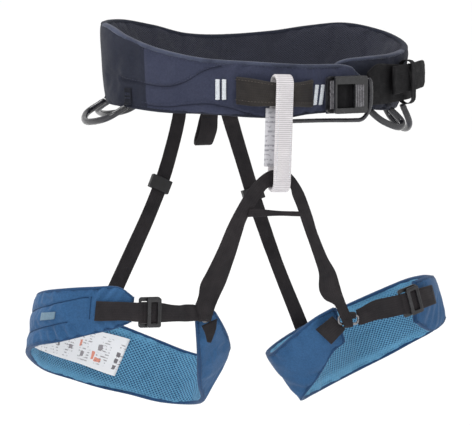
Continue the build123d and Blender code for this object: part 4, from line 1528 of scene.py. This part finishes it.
# ---------------- leg buckles
def dress_leg_buckle(side, origin, x_dir, z_dir):
    """Bevels and ribs for the two plates, and the webbing folded between them."""
    x_dir, z_dir = Vector(x_dir).normalized(), Vector(z_dir).normalized()
    y_dir = z_dir.cross(x_dir).normalized()
    origin = Vector(origin)

    def at(x, y, out):
        return origin + x_dir * x + y_dir * y + z_dir * out

    name = f"leg_{side}_buckle"
    hard_piece(f"{name}_frame", 0.6, buckle_metal)
    hard_piece(f"{name}_slider", 0.6, buckle_dark)
    place(ridges(f"{name}_ribs", (7.2, 8.4), -9.5, 9.5, 5.2, buckle_metal, at, 0.4), name, "buckle_metal")
    rows = []
    for x, out in ((-9.0, 1.9), (-5, 2.3), (-0.5, 2.3), (4, 2.3), (8.0, 1.9)):
        rows.append([*at(x, 9.6, out), *at(x, -9.6, out)])
    web(f"{name}_web", rows, 1.3, f"leg_{side}", [f"{name}_webbing"], step=1.8)


dress_leg_buckle("right", (-129.5, -98.6, -191), (1, 0, -0.03), (0, -1, 0))
dress_leg_buckle("left", (130.5, -84.6, -196.5), (1, 0.06, 0.30), (0.06, -1, 0))

# ---------------- labels
# row of the right leg loop, then the care label's top and bottom place across it
LABEL_ROWS = [
    (6.5, 0.70, -0.55),
    (8.0, 0.56, -0.50),
    (9.2, 0.44, -0.52),
    (10.3, 0.18, -0.68),
    (11.5, -0.12, -0.88),
]
LABEL_OFF = 4.3
PRINT_START = 203
label_line = []
for station in right_line:
    if 6.66 <= station.row <= 11.34:
        top, bottom = between(LABEL_ROWS, station.row)
        middle = station.point((top + bottom) / 2, -LABEL_OFF)
        half = station.half * (top - bottom) / 2
        at = station.at - PRINT_START
        label_line.append(Station(middle, station.across, station.out, half, at, station.row))
care = ribbon("care_label_sheet", label_line, 0.4, [care_print], across=14, shape=gentle(8.8, 0.3))
place(care, "leg_right", "label", "care_label")
tag_ends = (((-213.2, -52.3, -193), (-214.4, -52, -200)), ((-205.8, -68, -190.5), (-206.8, -68, -197)))
tag_out = Vector((-0.89, -0.45, 0)).normalized()
tag_rows = []
for k in range(6):
    edges = [Vector(tag_ends[0][e]).lerp(Vector(tag_ends[1][e]), k / 5) for e in (0, 1)]
    middle = (edges[0] + edges[1]) / 2
    landed = land(right_pad, [(p, tag_out) for p in (*edges, middle)], 0.7)
    reach = max((p - middle).dot(tag_out) for p in landed)
    tag_rows.append([*(edges[0] + tag_out * reach), *(edges[1] + tag_out * reach)])
web("leg_right_plain_tag", tag_rows, 0.8, "leg_right", ["leg_right_tag"], tag_weave, "tag", across=6,
    step=1.5)

# ---------------- risers
right_riser_rows = same_depth([
    (92, -36, -29, -22.5, -29),
    (91, -37.5, -36, -23.5, -36),
    (86, -45.5, -59, -31, -59),
    (81, -57, -88.5, -43, -92),
    (76.5, -72, -119.5, -58, -124),
    (72, -90.5, -153, -76, -158.5),
    (69, -109, -187.5, -94.5, -193.5),
    (67.5, -125.5, -219, -111, -225),
])
left_riser_rows = same_depth([
    (92, 12.5, -29, 29.5, -29),
    (90, 14.5, -38, 31, -38),
    (82, 25.5, -80, 41.5, -82),
    (74, 37, -124, 53, -126),
    (65, 53.5, -176, 68.5, -178),
    (57.5, 76, -238, 91, -236),
    (57, 80.5, -252, 95.5, -250),
])
for side, rows, seed in (("right", right_riser_rows, 6.1), ("left", left_riser_rows, 6.9)):
    name = f"riser_{side}"
    web(f"{name}_web", rows, 1.5, name, [f"{name}_strap"], across=10, shape=gentle(seed, 0.3))
    hard_piece(f"{name}_adjuster", 0.5, black_plastic)

# sewn patches on the leg loops that take the risers' feet: upper two corners, then lower two
PATCHES = {
    "right": ((-121, 62.8, -226), (-107, 62.8, -232), (-128.5, 62.2, -246), (-114.5, 62.2, -252)),
    "left": ((73.5, 52.4, -241), (88.5, 52.4, -239), (78, 50.6, -256), (93, 50.6, -254)),
}
for side, (top_a, top_b, low_a, low_b) in PATCHES.items():
    rows = []
    for k in range(5):
        t = k / 4
        corners = zip((*top_a, *top_b), (*low_a, *low_b))
        rows.append([a + (b - a) * t for a, b in corners])
    web(f"leg_{side}_riser_patch", rows, 1.2, f"leg_{side}", across=6)

# ---------------- floor, light and camera
FLOOR_DROP, FLOOR_RADIUS = 0.07, 80.0
floor_level = cad_low.z - FLOOR_DROP
bpy.ops.mesh.primitive_circle_add(vertices=96, radius=FLOOR_RADIUS, fill_type="NGON",
                                  location=(0, 0, floor_level))
floor = bpy.context.object
floor.name = "floor"
look = Look("pale_floor", 0.9)
cloudy = look.spread(look.noise(3, 3), 0.3, 0.7)
look.colour(look.mix(cloudy, (0.975, 0.975, 0.975, 1), (0.985, 0.985, 0.985, 1)))
floor.data.materials.append(look.material)
floor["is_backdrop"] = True

world = bpy.data.worlds.new("studio")
world.use_nodes = True
background = world.node_tree.nodes["Background"]
background.inputs[0].default_value = (1.0, 1.0, 1.0, 1.0)
# the studio wall is as bright as the floor low down, and dimmer above
direction = world.node_tree.nodes.new("ShaderNodeTexCoord")
upward = world.node_tree.nodes.new("ShaderNodeSeparateXYZ")
glow = world.node_tree.nodes.new("ShaderNodeMapRange")
for socket, value in ((1, 0.12), (2, 0.22), (3, 1.0), (4, 0.60)):
    glow.inputs[socket].default_value = value
world.node_tree.links.new(upward.inputs[0], direction.outputs["Generated"])
world.node_tree.links.new(glow.inputs[0], upward.outputs[2])
world.node_tree.links.new(background.inputs[1], glow.outputs[0])
scene.world = world


def softbox(name, place_at, aim, size, power):
    data = bpy.data.lights.new(name, "AREA")
    data.shape = "SQUARE"
    data.size = size
    data.energy = power
    lamp = bpy.data.objects.new(name, data)
    lamp.location = place_at
    lamp.rotation_euler = (Vector(aim) - Vector(place_at)).to_track_quat("-Z", "Y").to_euler()
    scene.collection.objects.link(lamp)


softbox("key_light", (-1.3, -1.5, 1.3), (0, 0, -0.1), 0.9, 16)
softbox("fill_light", (1.6, -1.2, 0.6), (0, 0, -0.1), 1.6, 3)

# a broad overhead light, a little behind, so that the shadow falls forward
overhead = bpy.data.lights.new("overhead_light", "SUN")
overhead.energy = 1.45
overhead.angle = radians(25)
overhead_lamp = bpy.data.objects.new("overhead_light", overhead)
overhead_lamp.rotation_euler = Vector((0.22, -0.16, -1.0)).to_track_quat("-Z", "Y").to_euler()
scene.collection.objects.link(overhead_lamp)

CAMERA_AZIMUTH, CAMERA_ELEVATION, CAMERA_DISTANCE = radians(-22), radians(6), 2.2
CAMERA_LENS, CAMERA_AIM = 180.43, Vector((-0.00686, 0.00277, -0.118))
back = Vector((sin(CAMERA_AZIMUTH) * cos(CAMERA_ELEVATION), -cos(CAMERA_AZIMUTH) * cos(CAMERA_ELEVATION),
               sin(CAMERA_ELEVATION)))
camera_data = bpy.data.cameras.new("camera")
camera_data.sensor_width = 36.0
camera_data.lens = CAMERA_LENS
camera = bpy.data.objects.new("camera", camera_data)
camera.location = CAMERA_AIM + back * CAMERA_DISTANCE
camera.rotation_euler = (-back).to_track_quat("-Z", "Y").to_euler()
scene.collection.objects.link(camera)
scene.camera = camera
scene.view_settings.view_transform = "Standard"

low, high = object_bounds()
